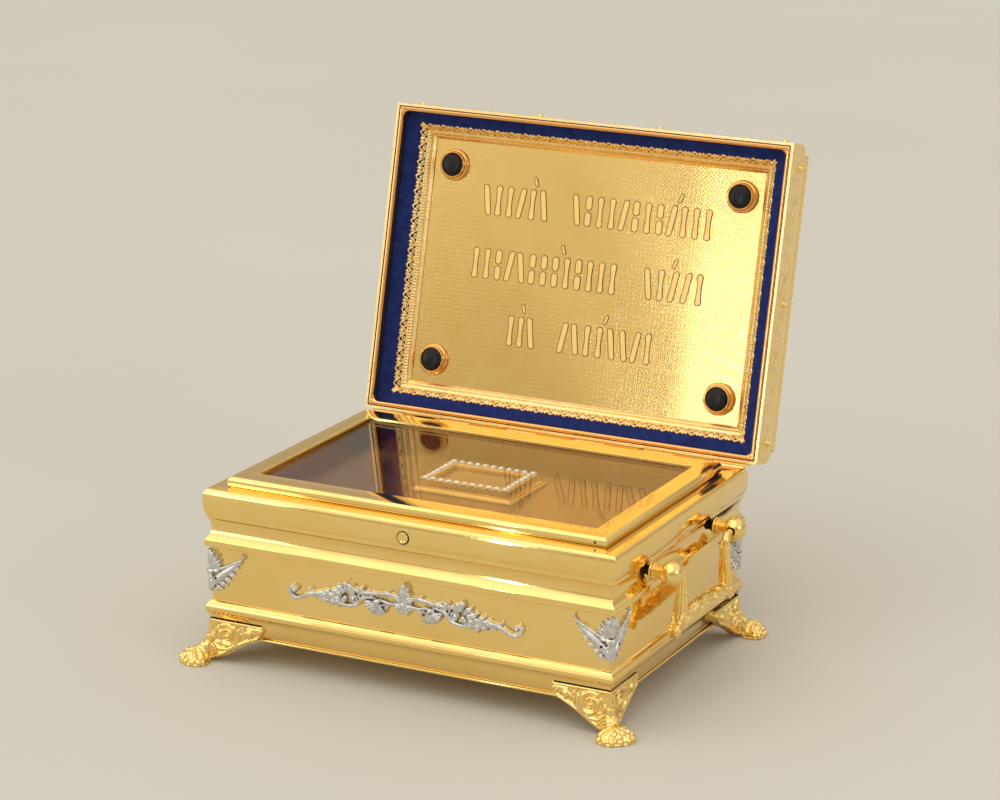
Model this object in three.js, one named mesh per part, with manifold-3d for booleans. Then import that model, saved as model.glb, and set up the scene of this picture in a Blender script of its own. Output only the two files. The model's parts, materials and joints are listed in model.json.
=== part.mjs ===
// Gilt reliquary casket: a footed rectangular box with moulded sides, two bail
// handles, a glazed inner frame over a relic capsule, and a hinged lid that
// stands open on its stop. Millimetres, +Z up, +X along the long front, +Y to
// the back.
import * as THREE from "three";
import { mergeVertices } from "three/addons/utils/BufferGeometryUtils.js";
import Module from "manifold-3d";

// ---------------------------------------------------------------- sizes
const RIM_X = 150; // half width of the casket at the rim's top edge
const RIM_Y = 108; // half depth of the casket at the rim's top edge
const RIM_Z = 121.5; // height of the rim above the floor
const GAP = 0.3; // clearance between pieces that touch

const FLANGE = 20; // width of the rim's inward flange
const BASE_INSET = 3.9; // base plate edge, in from the rim line
const BASE_TOP = -101.2; // from here down, heights marked "below rim" are negative
const BASE_BOTTOM = -103.4;

// glazed frame
const FRAME_X = 139.6; // half width, outside
const FRAME_Y = 95.45; // half depth, outside
const FRAME_CY = -2.45; // its centre sits a little forward of the casket's
const FRAME_BAR = 14.5; // bar width at the ends
const FRAME_BAR_FB = 17.2; // bar width at the front and back
const FRAME_TOP = 6.8; // above the rim
const PANE_TOP = 4.7;
const PANE_BOTTOM = 1.2;

// relic tray and capsule
const TRAY_FLOOR = -9.0;
const TRAY_SHEET = 1.2;
const CAPSULE = { baseX: 38, baseY: 28.2, topX: 33, topY: 24.6, baseTop: -3.6, top: -0.3 };

// lid: u across, v from the hinge edge to the front edge, n out of the open face
const LID_X = 153.9;
const LID_V = 222.8;
const LID_DEPTH = 26;
const LID_WALL = 1.9;
const LID_ROUND = 10; // radius along the front and back top edges
const LID_LEAN = 12.84; // degrees past upright when open
const LID_EDGE_Y = 120.0; // hinge edge of the open face, lid open
const LID_EDGE_Z = -0.2; // below rim
const HINGE_Y = 115.46;
const HINGE_Z = -3.33; // below rim
const RIM_BAND_U = 5.4; // lid rim width at the ends
const RIM_BAND_V = 5.4; // lid rim width at front and back
const VELVET_U = 9.9;
const VELVET_V = 7.4;
const VELVET_DEPTH = 7.4; // beside the rim
const BORDER_DEPTH = 10.6; // where the velvet meets the border
const BORDER = 9.7;
const PLATE_DEPTH = 21;
const CUP_R = 11.4;
const DOME_R = 7.9;
const DOME_H = 6.6;
const BUFFER_U = 112.5;
const BUFFER_V = [40, 182.4];

// handles
const BALL_X = 166;
const BALL_Y = 53;
const BALL_Z = -25.6;
const BALL_R = 8.2;
const BAIL_DROP = 38.5;
const LEG_Y = 38;

// feet
const WING = 40.5;
const FOOT_TOP = -92.6;
const PAW_R = 13.2; // half width of a paw, across the diagonal
const PAW_L = 10; // half length, along it
const PAW_OUT = 12; // its centre from the corner line

// ------------------------------------------------------------- materials
const gold = (color = 0xd4ae5c, roughness = 0.16) =>
  new THREE.MeshStandardMaterial({ color, roughness, metalness: 1 });
const MAT = {
  gold: gold(),
  cast: gold(0xdcb860, 0.3),
  floor: gold(0xc89a4a, 0.25),
  engraved: gold(0xe2c070, 0.34),
  silver: new THREE.MeshStandardMaterial({ color: 0xc9c6c4, roughness: 0.28, metalness: 1 }),
  velvet: new THREE.MeshStandardMaterial({ color: 0x101a4c, roughness: 0.95, metalness: 0 }),
  glass: new THREE.MeshStandardMaterial({ color: 0xf4f2ea, roughness: 0.03, metalness: 0, transparent: true, opacity: 0.2 }),
  dome: new THREE.MeshStandardMaterial({ color: 0x0b0b0c, roughness: 0.18, metalness: 0 }),
};

// --------------------------------------------------------- solid helpers
const wasm = await Module();
wasm.setup();

// Position-only geometry with shared vertices merged and faces turned out.
function closed(geometry) {
  const src = geometry.index ? geometry.toNonIndexed() : geometry;
  const bare = new THREE.BufferGeometry().setAttribute("position", src.getAttribute("position").clone());
  const g = mergeVertices(bare, 1e-3);
  const p = g.attributes.position.array;
  let idx = Array.from(g.index.array);
  const keep = [];
  for (let i = 0; i < idx.length; i += 3) {
    const [a, b, c] = [idx[i], idx[i + 1], idx[i + 2]];
    if (a !== b && b !== c && a !== c) keep.push(a, b, c);
  }
  idx = keep;
  let vol = 0;
  for (let i = 0; i < idx.length; i += 3) {
    const [a, b, c] = [idx[i] * 3, idx[i + 1] * 3, idx[i + 2] * 3];
    vol +=
      p[a] * (p[b + 1] * p[c + 2] - p[b + 2] * p[c + 1]) -
      p[a + 1] * (p[b] * p[c + 2] - p[b + 2] * p[c]) +
      p[a + 2] * (p[b] * p[c + 1] - p[b + 1] * p[c]);
  }
  if (vol < 0) for (let i = 0; i < idx.length; i += 3) [idx[i + 1], idx[i + 2]] = [idx[i + 2], idx[i + 1]];
  g.setIndex(idx);
  return g;
}

function toSolid(geometry) {
  const g = closed(geometry);
  return new wasm.Manifold(
    new wasm.Mesh({
      numProp: 3,
      vertProperties: new Float32Array(g.attributes.position.array),
      triVerts: new Uint32Array(g.index.array),
    }),
  );
}

function toGeometry(solid) {
  const m = solid.getMesh();
  const v = new Float32Array(m.numVert * 3);
  for (let i = 0; i < m.numVert; i++) for (let k = 0; k < 3; k++) v[i * 3 + k] = m.vertProperties[i * m.numProp + k];
  return new THREE.BufferGeometry()
    .setAttribute("position", new THREE.BufferAttribute(v, 3))
    .setIndex(new THREE.BufferAttribute(new Uint32Array(m.triVerts), 1));
}

const join = (...gs) => toGeometry(gs.map(toSolid).reduce((a, b) => a.add(b)));
const cut = (g, ...tools) => toGeometry(tools.map(toSolid).reduce((a, b) => a.subtract(b), toSolid(g)));

// A copy of a geometry mirrored in X and/or Y.
function mirrored(geometry, sx, sy) {
  const g = geometry.clone();
  g.scale(sx, sy, 1);
  return g;
}

// A rectangular moulding with mitred corners: a four-sided lathe whose
// quadrants are pulled apart. The profile is a list of [inset, height]; the
// inset is measured inwards from the half sizes hx, hy. insetY turns an inset
// at the ends into the matching inset at the front and back.
const REACH = 200;
function squareLathe(pts, hx, hy, insetY, cy) {
  const g = closed(new THREE.LatheGeometry(pts, 4, Math.PI / 4).rotateX(Math.PI / 2));
  const p = g.attributes.position;
  for (let i = 0; i < p.count; i++) {
    const [x, y, z] = [p.getX(i), p.getY(i), p.getZ(i)];
    if (Math.abs(x) < 1e-3) {
      p.setXYZ(i, 0, cy, z);
      continue;
    }
    const e = Math.round((REACH - Math.abs(x)) * 1e3) / 1e3;
    p.setXYZ(i, Math.sign(x) * (hx - e), Math.sign(y) * (hy - insetY(e)) + cy, z);
  }
  return g;
}
const around = ([e, z]) => new THREE.Vector2((REACH - e) * Math.SQRT2, z);
const moulding = (profile, hx, hy, { insetY = (e) => e, cy = 0 } = {}) =>
  squareLathe([...profile, profile[0]].map(around), hx, hy, insetY, cy);
// The same, filled to its middle: the profile runs from the top down.
const mouldedBlock = (profile, hx, hy, { insetY = (e) => e, cy = 0 } = {}) =>
  squareLathe(
    [
      new THREE.Vector2(0, profile[0][1]),
      ...profile.map(around),
      new THREE.Vector2(0, profile[profile.length - 1][1]),
    ],
    hx,
    hy,
    insetY,
    cy,
  );

const box = (x0, x1, y0, y1, z0, z1) =>
  new THREE.BoxGeometry(x1 - x0, y1 - y0, z1 - z0).translate((x0 + x1) / 2, (y0 + y1) / 2, (z0 + z1) / 2);

// Lathe about +Z from [radius, z] pairs.
const turned = (pairs, segments = 16) =>
  new THREE.LatheGeometry(pairs.map(([r, z]) => new THREE.Vector2(r, z)), segments).rotateX(Math.PI / 2).scale(1, 1, 1);

// Outline drawn in a plane and given a thickness along its normal.
function slab(points, thickness) {
  const shape = new THREE.Shape(points.map(([x, y]) => new THREE.Vector2(x, y)));
  return new THREE.ExtrudeGeometry(shape, { depth: thickness, bevelEnabled: false });
}

// A bar of oval section bent along a polyline in the plane x = 0, its radius
// given at every station: [y, z, radius].
function bar(stations, sides = 8, flat = 1) {
  const n = stations.length - 1;
  const g = new THREE.CylinderGeometry(1, 1, 1, sides, n);
  const p = g.attributes.position;
  for (let i = 0; i < p.count; i++) {
    const k = Math.round((0.5 - p.getY(i)) * n);
    const [y, z, r] = stations[k];
    const [before, after] = [stations[Math.max(0, k - 1)], stations[Math.min(n, k + 1)]];
    const t = new THREE.Vector2(after[0] - before[0], after[1] - before[1]).normalize();
    const c = p.getZ(i) * r;
    p.setXYZ(i, p.getX(i) * r * flat, y - t.y * c, z + t.x * c);
  }
  return g;
}

// ------------------------------------------------------------ the pieces
const casket = new THREE.Group();
const lid = new THREE.Group();

function piece(parent, name, geometry, material) {
  const mesh = new THREE.Mesh(closed(geometry), material);
  mesh.name = name;
  parent.add(mesh);
  return mesh;
}

// Outer face of the body, [inset, below rim], top to bottom.
const OUTER = [
  [0.5, 0],
  [-0.5, -0.4],
  [-1.3, -2],
  [-1.9, -5],
  [-2.1, -9],
  [-1.9, -12.5],
  [-1.3, -15.8],
  [-0.6, -17.5],
  [0.1, -17.8],
  [0.2, -20.6],
  [0.9, -21.6],
  [1.7, -23.6],
  [2.2, -26.2],
  [2.0, -29.2],
  [1.2, -31.6],
  [0, -33.8],
  [-1, -35.2],
  [-1.4, -35.7],
  [-1.4, -39.6],
  [-1, -40.2],
  [2.3, -41.2],
  [2.3, -78.6],
  [1.5, -79.1],
  [0.4, -80],
  [-0.6, -81.4],
  [-1, -82.6],
  [-1.4, -82.9],
  [-1.4, -85.6],
  [-0.2, -87.2],
  [0.9, -89.6],
  [1.8, -93],
  [3.1, -97.5],
  [4.6, -100.9],
  [4.7, BASE_TOP],
];
// Inner face of the sheet, bottom to top.
const INNER = [
  [6.9, BASE_TOP],
  [5.2, -97.2],
  [3.9, -92.4],
  [2.9, -88.6],
  [0.9, -86],
  [0.8, -84],
  [1.4, -82.4],
  [3.4, -80.6],
  [4.4, -79.2],
  [4.4, -39.6],
  [1, -38.4],
  [0.8, -36.8],
  [2.2, -34.6],
  [3.6, -31.6],
  [4.3, -28.4],
  [4.2, -25.2],
  [3.4, -22.2],
  [2.2, -20.4],
  [1.9, -17.2],
  [0.5, -13],
  [0.1, -9],
  [0.5, -4.6],
  [1.6, -2],
];
const above = (profile, dz = RIM_Z) => profile.map(([e, z]) => [e, z + dz]);

piece(
  casket,
  "casket_body",
  moulding(above([[FLANGE, 0], ...OUTER, ...INNER, [FLANGE, -2]]), RIM_X, RIM_Y),
  MAT.gold,
);
piece(
  casket,
  "base_plate",
  mouldedBlock(above([[BASE_INSET, BASE_TOP - GAP], [BASE_INSET, BASE_BOTTOM]]), RIM_X, RIM_Y),
  MAT.gold,
);

// The body grown by the clearance: what fittings on it are cut back to.
const ENVELOPE = mouldedBlock(
  above([
    ...OUTER.map(([e, z]) => [e - GAP, z]),
    [BASE_INSET - GAP, BASE_TOP - GAP],
    [BASE_INSET - GAP, BASE_BOTTOM - GAP],
  ]),
  RIM_X,
  RIM_Y,
);

// --- feet: a winged bracket on each corner, an ankle and a lion's paw
const WING_OUTLINE = [
  [0, FOOT_TOP],
  [WING - 1, FOOT_TOP],
  [WING, -93.4],
  [WING + 0.3, -95.6],
  [WING - 1.2, -99.4],
  [WING - 4.2, -102.6],
  [WING - 7.5, -104.2],
  [26.5, -106.4],
  [18.5, -110.8],
  [11.5, -115.2],
  [6, -118.4],
  [0, -119.6],
];

function footGeometry() {
  // built for the front right corner: +X and -Y are outwards
  const cx = RIM_X - 1.2;
  const cy = -RIM_Y + 1.2;
  const thick = 4.2;
  const lean = (g, sx, sy) => {
    const p = g.attributes.position;
    for (let i = 0; i < p.count; i++) {
      const drop = Math.max(0, (RIM_Z + FOOT_TOP - p.getZ(i)) / 27);
      p.setXYZ(i, p.getX(i) + sx * 2.6 * drop, p.getY(i) + sy * 2.6 * drop, p.getZ(i));
    }
    return g;
  };
  // front wing: outline in X-Z, its face towards -Y
  const front = slab(
    WING_OUTLINE.map(([a, z]) => [-a, z + RIM_Z]),
    thick,
  )
    .rotateX(Math.PI / 2)
    .translate(cx, cy + thick, 0);
  const side = slab(
    WING_OUTLINE.map(([a, z]) => [a, z + RIM_Z]),
    thick,
  )
    .rotateX(Math.PI / 2)
    .rotateZ(Math.PI / 2)
    .translate(cx - thick, cy, 0);
  // round screw head near the end of each wing
  const screw = new THREE.CylinderGeometry(2.6, 2.6, 3, 6);
  const frontScrew = screw.clone().translate(cx - 30.5, cy + 0.6, RIM_Z - 98);
  const sideScrew = screw.clone().rotateZ(Math.PI / 2).translate(cx - 0.6, cy + 30.5, RIM_Z - 98);
  // ankle and paw, standing out along the diagonal
  const dir = new THREE.Vector2(1, -1).normalize();
  const at = (d) => [cx + dir.x * d, cy + dir.y * d];
  const ankle = turned([[0, 2], [7.4, 2], [6.8, 8], [4.8, 12.5], [4.2, 19], [4.6, 25], [0, 25]], 8);
  {
    const p = ankle.attributes.position;
    for (let i = 0; i < p.count; i++) {
      const k = Math.max(0, 14 - p.getZ(i)) / 12; // the ankle bends out to the paw
      p.setXYZ(i, p.getX(i) + at(-1 + 7.5 * k)[0], p.getY(i) + at(-1 + 7.5 * k)[1], p.getZ(i));
    }
  }
  const [px, py] = at(PAW_OUT);
  const pad = turned(
    [[0, 0], [PAW_R - 1.4, 0], [PAW_R, 2.4], [PAW_R - 2.4, 7.4], [0, 10.4]],
    12,
  )
    .rotateZ(Math.PI / 4)
    .scale(PAW_L / PAW_R, 1, 1)
    .rotateZ(-Math.PI / 4)
    .translate(px, py, 0);
  const toes = [];
  for (const s of [-1.5, -0.5, 0.5, 1.5]) {
    const ang = -Math.PI / 4 + s * 0.42;
    const toe = new THREE.SphereGeometry(4.1, 6, 4);
    toe.scale(1, 1, 1.25);
    toe.translate(px + Math.cos(ang) * 9.3 - dir.x * 2.4, py + Math.sin(ang) * 9.3 - dir.y * 2.4, 5.2);
    toes.push(toe);
  }
  const floor = box(-400, 400, -400, 400, -50, 0);
  const whole = join(
    lean(front, 0, -1),
    lean(side, 1, 0),
    frontScrew,
    sideScrew,
    ankle,
    pad,
    ...toes,
  );
  return cut(whole, floor, ENVELOPE, box(cx - WING - 5, cx - 9.5, cy + 9.5, cy + WING + 5, -1, 40));
}
const foot = footGeometry();
const CORNERS = { front_right: [1, 1], front_left: [-1, 1], back_right: [1, -1], back_left: [-1, -1] };
for (const [name, [sx, sy]] of Object.entries(CORNERS)) piece(casket, "foot_" + name, mirrored(foot, sx, sy), MAT.cast);

// --- silver corner mounts: palmette over two swept wings and a leafy point
const MOUNT_WING = [
  [0, -41.6],
  [4.4, -44],
  [6.2, -48.4],
  [4.8, -51.6],
  [9, -52.8],
  [15, -50.6],
  [20.5, -47.2],
  [25, -43.6],
  [28, -44.4],
  [25.6, -48.6],
  [18.4, -56],
  [15.6, -59.6],
  [9.6, -64.4],
  [5, -67.6],
  [0, -72.2],
];
function cornerMountGeometry() {
  const cx = RIM_X - 2.3;
  const cy = -RIM_Y + 2.3;
  const proud = 2.2;
  const front = slab(MOUNT_WING.map(([a, z]) => [proud - a * 1.04, z + RIM_Z]), proud)
    .rotateX(Math.PI / 2)
    .translate(cx, cy, 0);
  const side = slab(MOUNT_WING.map(([a, z]) => [-proud + a * 1.04, z + RIM_Z]), proud)
    .rotateX(Math.PI / 2)
    .rotateZ(Math.PI / 2)
    .translate(cx, cy, 0);
  // swelling palmette on the corner itself
  const palmette = turned([[0, -55.5], [3.8, -51.5], [4.2, -46], [0, -42]], 6).translate(
    cx + 0.2,
    cy - 0.2,
    RIM_Z,
  );
  return cut(join(front, side, palmette), ENVELOPE);
}
const mount = cornerMountGeometry();
for (const [name, [sx, sy]] of Object.entries(CORNERS))
  piece(casket, "corner_mount_" + name, mirrored(mount, sx, sy), MAT.silver);

// --- silver garland on the front panel: a leaf between scrolls and shells
const GARLAND_Z = RIM_Z - 55.5;
function leafOutline(cx, cy, length, width, angle, lobes, depth = 0.24) {
  const pts = [];
  const side = (s) => {
    const row = [];
    for (let i = 0; i <= lobes * 2; i++) {
      const t = i / (lobes * 2);
      const w = Math.sin(Math.PI * Math.min(1, t * 0.92 + 0.08)) ** 0.8 * width * (i % 2 ? 1 : 1 - depth);
      row.push([t * length, s * w]);
    }
    return row;
  };
  pts.push(...side(1), ...side(-1).reverse().slice(1));
  return pts.map(([x, y]) => [cx + x * Math.cos(angle) - y * Math.sin(angle), cy + x * Math.sin(angle) + y * Math.cos(angle)]);
}
function garlandGeometry() {
  const parts = [];
  const deep = 2.4;
  for (const s of [-1, 1]) {
    // the long stem, from beside the leaf out to its curled tip
    const stem = [];
    for (let i = 0; i <= 8; i++) {
      const t = i / 8;
      const y = 2 + t * 74;
      stem.push([s * y, 2.6 * Math.sin(t * Math.PI * 2.2) - 5.2 * t * t + 0.2, 2.3 - 1.1 * t]);
    }
    for (let i = 1; i <= 4; i++) {
      const a = -Math.PI / 2 + (i / 4) * 1.3 * Math.PI;
      stem.push([s * (76 + 6.4 * Math.cos(a) * (1 - i * 0.05)), -0.6 + 4.4 * Math.sin(a) * (1 - i * 0.06), 1.25]);
    }
    parts.push(bar(stem, 4, 1));
    for (const [x, y, len, wid, ang, n] of [
      [9, 2.5, 22, 4.6, 0.28, 2],
      [26, 3.5, 18, 4.4, -0.3, 2],
      [40, 1.6, 15, 4.2, 0.34, 2],
      [46, -0.6, 24, 4.2, -0.1, 2],
    ])
      parts.push(
        slab(leafOutline(x, y, len, wid, ang, n).map(([px, py]) => [s * px, py]), deep)
          .rotateX(Math.PI / 2)
          .rotateZ(Math.PI / 2)
          .translate(-deep / 2, 0, 0),
      );
    // fan shell under the stem
    const shell = [];
    for (let i = 0; i <= 6; i++) {
      const a = Math.PI * (1.02 + (0.96 * i) / 6);
      const r = 8.4 * (i % 2 ? 1 : 0.9);
      shell.push([s * (31 + r * Math.cos(a)), -1.4 + r * Math.sin(a) * 0.92]);
    }
    parts.push(slab(shell, deep).rotateX(Math.PI / 2).rotateZ(Math.PI / 2).translate(-deep / 2, 0, 0));
  }
  // centre leaf, point up, with two drooping side lobes
  for (const [ang, len, wid, n] of [
    [Math.PI / 2, 14.5, 5.2, 2],
    [Math.PI * 0.84, 13, 4, 1],
    [Math.PI * 0.16, 13, 4, 1],
    [-Math.PI * 0.28, 11, 3.4, 1],
    [-Math.PI * 0.72, 11, 3.4, 1],
  ])
    parts.push(
      slab(leafOutline(0, -1.5, len, wid, ang, n), deep + 0.4)
        .rotateX(Math.PI / 2)
        .rotateZ(Math.PI / 2)
        .translate(-deep / 2, 0, 0),
    );
  const g = join(...parts);
  g.rotateZ(-Math.PI / 2); // the drawing plane x = 0 becomes the front face
  g.translate(0, -RIM_Y + 2.3 - deep / 2 - GAP - 0.1, GARLAND_Z);
  return cut(g, ENVELOPE);
}
piece(casket, "front_garland", garlandGeometry(), MAT.silver);

// --- round lock plate with a key slot, on the front bulge
{
  const plate = turned([[0, 0], [4.7, 0], [4.7, 1.4], [3.4, 1.7], [2.9, 1.1], [0, 1.1]], 12);
  plate.rotateX(Math.PI / 2).translate(0, -RIM_Y - 1.4, RIM_Z - 10.9);
  const slot = box(-0.6, 0.6, -RIM_Y - 3.4, -RIM_Y - 1.7, RIM_Z - 13, RIM_Z - 9.2);
  piece(casket, "lock_plate", cut(plate, slot, ENVELOPE), MAT.gold);
}

// --- relic tray: a shallow pan hung from the rim by its lip
const TRAY = { lip: 5.6, outside: 9.9, inside: 11.1 }; // in from the frame's edge
piece(
  casket,
  "relic_tray",
  cut(
    mouldedBlock(
      above([[TRAY.lip, GAP + 0.5], [TRAY.lip, GAP], [TRAY.outside, GAP], [TRAY.outside, TRAY_FLOOR - TRAY_SHEET]]),
      FRAME_X,
      FRAME_Y,
      { cy: FRAME_CY },
    ),
    mouldedBlock(above([[TRAY.inside, 5], [TRAY.inside, TRAY_FLOOR]]), FRAME_X, FRAME_Y, { cy: FRAME_CY }),
  ),
  MAT.floor,
);

// --- glazed frame: flat bars with a bevelled outer edge on a recessed foot
const frameInsetY = (e) => (e > 5.3 ? 5.3 + (e - 5.3) * ((FRAME_BAR_FB - 5.3) / (FRAME_BAR - 5.3)) : e);
piece(
  casket,
  "glass_frame",
  moulding(
    above([
      [0, 1.1],
      [0, 4.9],
      [1.7, FRAME_TOP],
      [FRAME_BAR, FRAME_TOP],
      [FRAME_BAR, PANE_TOP + GAP],
      [10.5, PANE_TOP + GAP],
      [10.5, 1.2],
      [5.2, 1.2],
      [5.2, GAP],
      [1.4, GAP],
      [1.4, 1.1],
    ]),
    FRAME_X,
    FRAME_Y,
    { insetY: frameInsetY, cy: FRAME_CY },
  ),
  MAT.gold,
);
piece(
  casket,
  "glass_pane",
  mouldedBlock(above([[10.8, PANE_TOP], [10.8, PANE_BOTTOM]]), FRAME_X, FRAME_Y, { insetY: frameInsetY, cy: FRAME_CY }),
  MAT.glass,
);

// --- relic capsule: a stepped frame round a sunk window
piece(
  casket,
  "relic_capsule",
  (() => {
    const { baseX, baseY, topX, topY, baseTop, top } = CAPSULE;
    const step = topX - baseX;
    const stepY = (e) => e * ((baseY - topY) / (baseX - topX));
    const outer = mouldedBlock(
      above([
        [baseX - topX + 0.8, top],
        [baseX - topX, top - 0.6],
        [baseX - topX, baseTop],
        [1.4, baseTop],
        [1.4, baseTop - 1.6],
        [0, baseTop - 2],
        [0, TRAY_FLOOR + GAP],
      ]),
      baseX,
      baseY,
      { insetY: stepY },
    );
    return cut(outer, box(-topX + 6.6, topX - 6.6, -topY + 6.6, topY - 6.6, RIM_Z + top - 3.2, RIM_Z + 5));
  })(),
  MAT.gold,
);

// --- handles: turned posts ending in balls, and a hanging bail between them
const WALL_X = 140; // the posts start inside the wall and are trimmed to it
const postProfile = [[0, 0], [6.6, 0], [6.6, 10], [3.6, 11.4], [5.8, 13], [5.4, 14.8], [4, 15.8]];
for (let i = 0; i <= 6; i++) {
  const a = 0.58 + ((Math.PI - 0.58) * i) / 6; // from behind the ball round to its tip
  postProfile.push([i === 6 ? 0 : BALL_R * Math.sin(a), BALL_X - WALL_X - BALL_R * Math.cos(a)]);
}
const post = cut(
  turned(postProfile, 10).rotateY(Math.PI / 2).translate(WALL_X, -BALL_Y, RIM_Z + BALL_Z),
  // blind bore that the bail's end turns in
  new THREE.CylinderGeometry(3.5, 3.5, 12, 8).translate(BALL_X, 8.6 - BALL_Y, RIM_Z + BALL_Z),
  ENVELOPE,
);
for (const [name, [sx, sy]] of Object.entries(CORNERS)) piece(casket, "handle_post_" + name, mirrored(post, sx, sy), MAT.gold);

function bailGeometry() {
  const z0 = RIM_Z + BALL_Z;
  const zb = z0 - BAIL_DROP;
  const leg = (s) => [
    [s * (BALL_Y - 3.6), z0, 2.7],
    [s * (BALL_Y - 10), z0, 2.6],
    [s * (LEG_Y + 1.4), z0 - 2, 2.6],
    [s * LEG_Y, z0 - 6.6, 2.7],
    [s * LEG_Y, z0 - 20, 3.3],
    [s * LEG_Y, z0 - 33, 3.7],
    [s * (LEG_Y + 1.6), z0 - 40, 3],
  ];
  const rail = [];
  for (let i = 0; i <= 8; i++) {
    const t = i / 8;
    const swell = Math.sin(Math.PI * t) ** 2;
    const leaf = 0.4 * Math.abs(Math.sin(Math.PI * t * 4));
    rail.push([-LEG_Y + 2 * LEG_Y * t, zb + 1.2 * swell, 4 + 1.9 * swell + leaf]);
  }
  const volute = (s) => {
    // the leg ends in a scroll, with a smaller one curling on below it
    const big = new THREE.CylinderGeometry(5.4, 5.4, 5.2, 8).rotateZ(Math.PI / 2);
    const small = new THREE.CylinderGeometry(4.3, 4.3, 4.8, 8).rotateZ(Math.PI / 2);
    return join(big.translate(0, s * LEG_Y, zb + 2), small.translate(0, s * (LEG_Y + 6.5), zb - 3.4));
  };
  const g = join(bar(leg(-1), 6, 0.94), bar(leg(1), 6, 0.94), bar(rail, 8, 0.84), volute(-1), volute(1));
  return g.translate(BALL_X, 0, 0);
}
const bail = bailGeometry();
piece(casket, "bail_right", bail, MAT.cast);
piece(casket, "bail_left", mirrored(bail, -1, 1), MAT.cast);

// --- piano hinge along the back
const KNUCKLES = 11;
const PITCH = 26.7;
const BARREL_R = 2.6;
const knuckle = (k, y, z) =>
  new THREE.CylinderGeometry(BARREL_R, BARREL_R, PITCH - 0.5, 8)
    .rotateZ(Math.PI / 2)
    .translate((k - (KNUCKLES - 1) / 2) * PITCH, y, z);
const half = (KNUCKLES * PITCH) / 2;
{
  const y = HINGE_Y;
  const z = RIM_Z + HINGE_Z;
  const parts = [box(-half, half, RIM_Y + 2.4, RIM_Y + 3.4, RIM_Z - 14, RIM_Z - 5)];
  for (let k = 0; k < KNUCKLES; k += 2) {
    const x = (k - (KNUCKLES - 1) / 2) * PITCH;
    const w = (PITCH - 0.5) / 2;
    parts.push(knuckle(k, y, z), box(x - w, x + w, RIM_Y + 2.4, y, z - 2.6, z - 1.2));
  }
  const bore = new THREE.CylinderGeometry(1.35, 1.35, 2 * half + 4, 8).rotateZ(Math.PI / 2).translate(0, y, z);
  piece(casket, "hinge_leaf_body", cut(join(...parts), bore), MAT.gold);
  piece(
    casket,
    "hinge_pin",
    new THREE.CylinderGeometry(0.9, 0.9, 2 * half, 8).rotateZ(Math.PI / 2).translate(0, y, z),
    MAT.gold,
  );
}

// ------------------------------------------------------------------- lid
// Modelled open face up: +X across, +Y from the hinge edge to the front edge,
// +Z out of the open face. It is then stood up on its hinge edge.
const lidY = LID_V / 2;
const barrelV = -4.06;
const barrelN = 3.73;

// flat ends, with the front and back walls rounded over into the top
function lidForm(inset, top) {
  const s = new THREE.Shape();
  const r = LID_ROUND - inset;
  const [v0, v1, n] = [inset, LID_V - inset, inset - LID_DEPTH];
  s.moveTo(v0, top);
  s.lineTo(v0, n + r);
  s.absarc(v0 + r, n + r, r, Math.PI, 1.5 * Math.PI, false);
  s.absarc(v1 - r, n + r, r, 1.5 * Math.PI, 2 * Math.PI, false);
  s.lineTo(v1, top);
  s.closePath();
  const hx = LID_X - inset;
  const g = new THREE.ExtrudeGeometry(s, { depth: 2 * hx, bevelEnabled: false, curveSegments: 6 });
  const p = g.attributes.position;
  for (let i = 0; i < p.count; i++) p.setXYZ(i, p.getZ(i) - hx, p.getX(i), p.getY(i));
  return g;
}
piece(lid, "lid_shell", cut(lidForm(0, 0), lidForm(LID_WALL, 5)), MAT.engraved);

// Insets of the lid's nested bands, ends against front and back.
const BANDS = [
  [0, 0],
  [2.5, 2.5],
  [RIM_BAND_U, RIM_BAND_V],
  [RIM_BAND_U + VELVET_U, RIM_BAND_V + VELVET_V],
  [RIM_BAND_U + VELVET_U + BORDER, RIM_BAND_V + VELVET_V + BORDER],
  [120, 118.1],
];
function lidInsetY(e) {
  for (let i = 1; i < BANDS.length; i++)
    if (e <= BANDS[i][0] + 1e-6) {
      const [a, b] = [BANDS[i - 1], BANDS[i]];
      return a[1] + ((e - a[0]) * (b[1] - a[1])) / (b[0] - a[0]);
    }
  return e - 1.9;
}
const lidOpts = { insetY: lidInsetY, cy: lidY };
const E1 = RIM_BAND_U;
const E2 = E1 + VELVET_U;
const E3 = E2 + BORDER;

piece(
  lid,
  "lid_rim",
  moulding(
    [
      [2.5, -0.5],
      [2.9, 0],
      [4.3, 0],
      [E1 - 0.1, -0.7],
      [E1, -1.4],
      [E1, -VELVET_DEPTH + GAP],
      [2.5, -VELVET_DEPTH + GAP],
    ],
    LID_X,
    lidY,
    lidOpts,
  ),
  MAT.gold,
);
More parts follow.
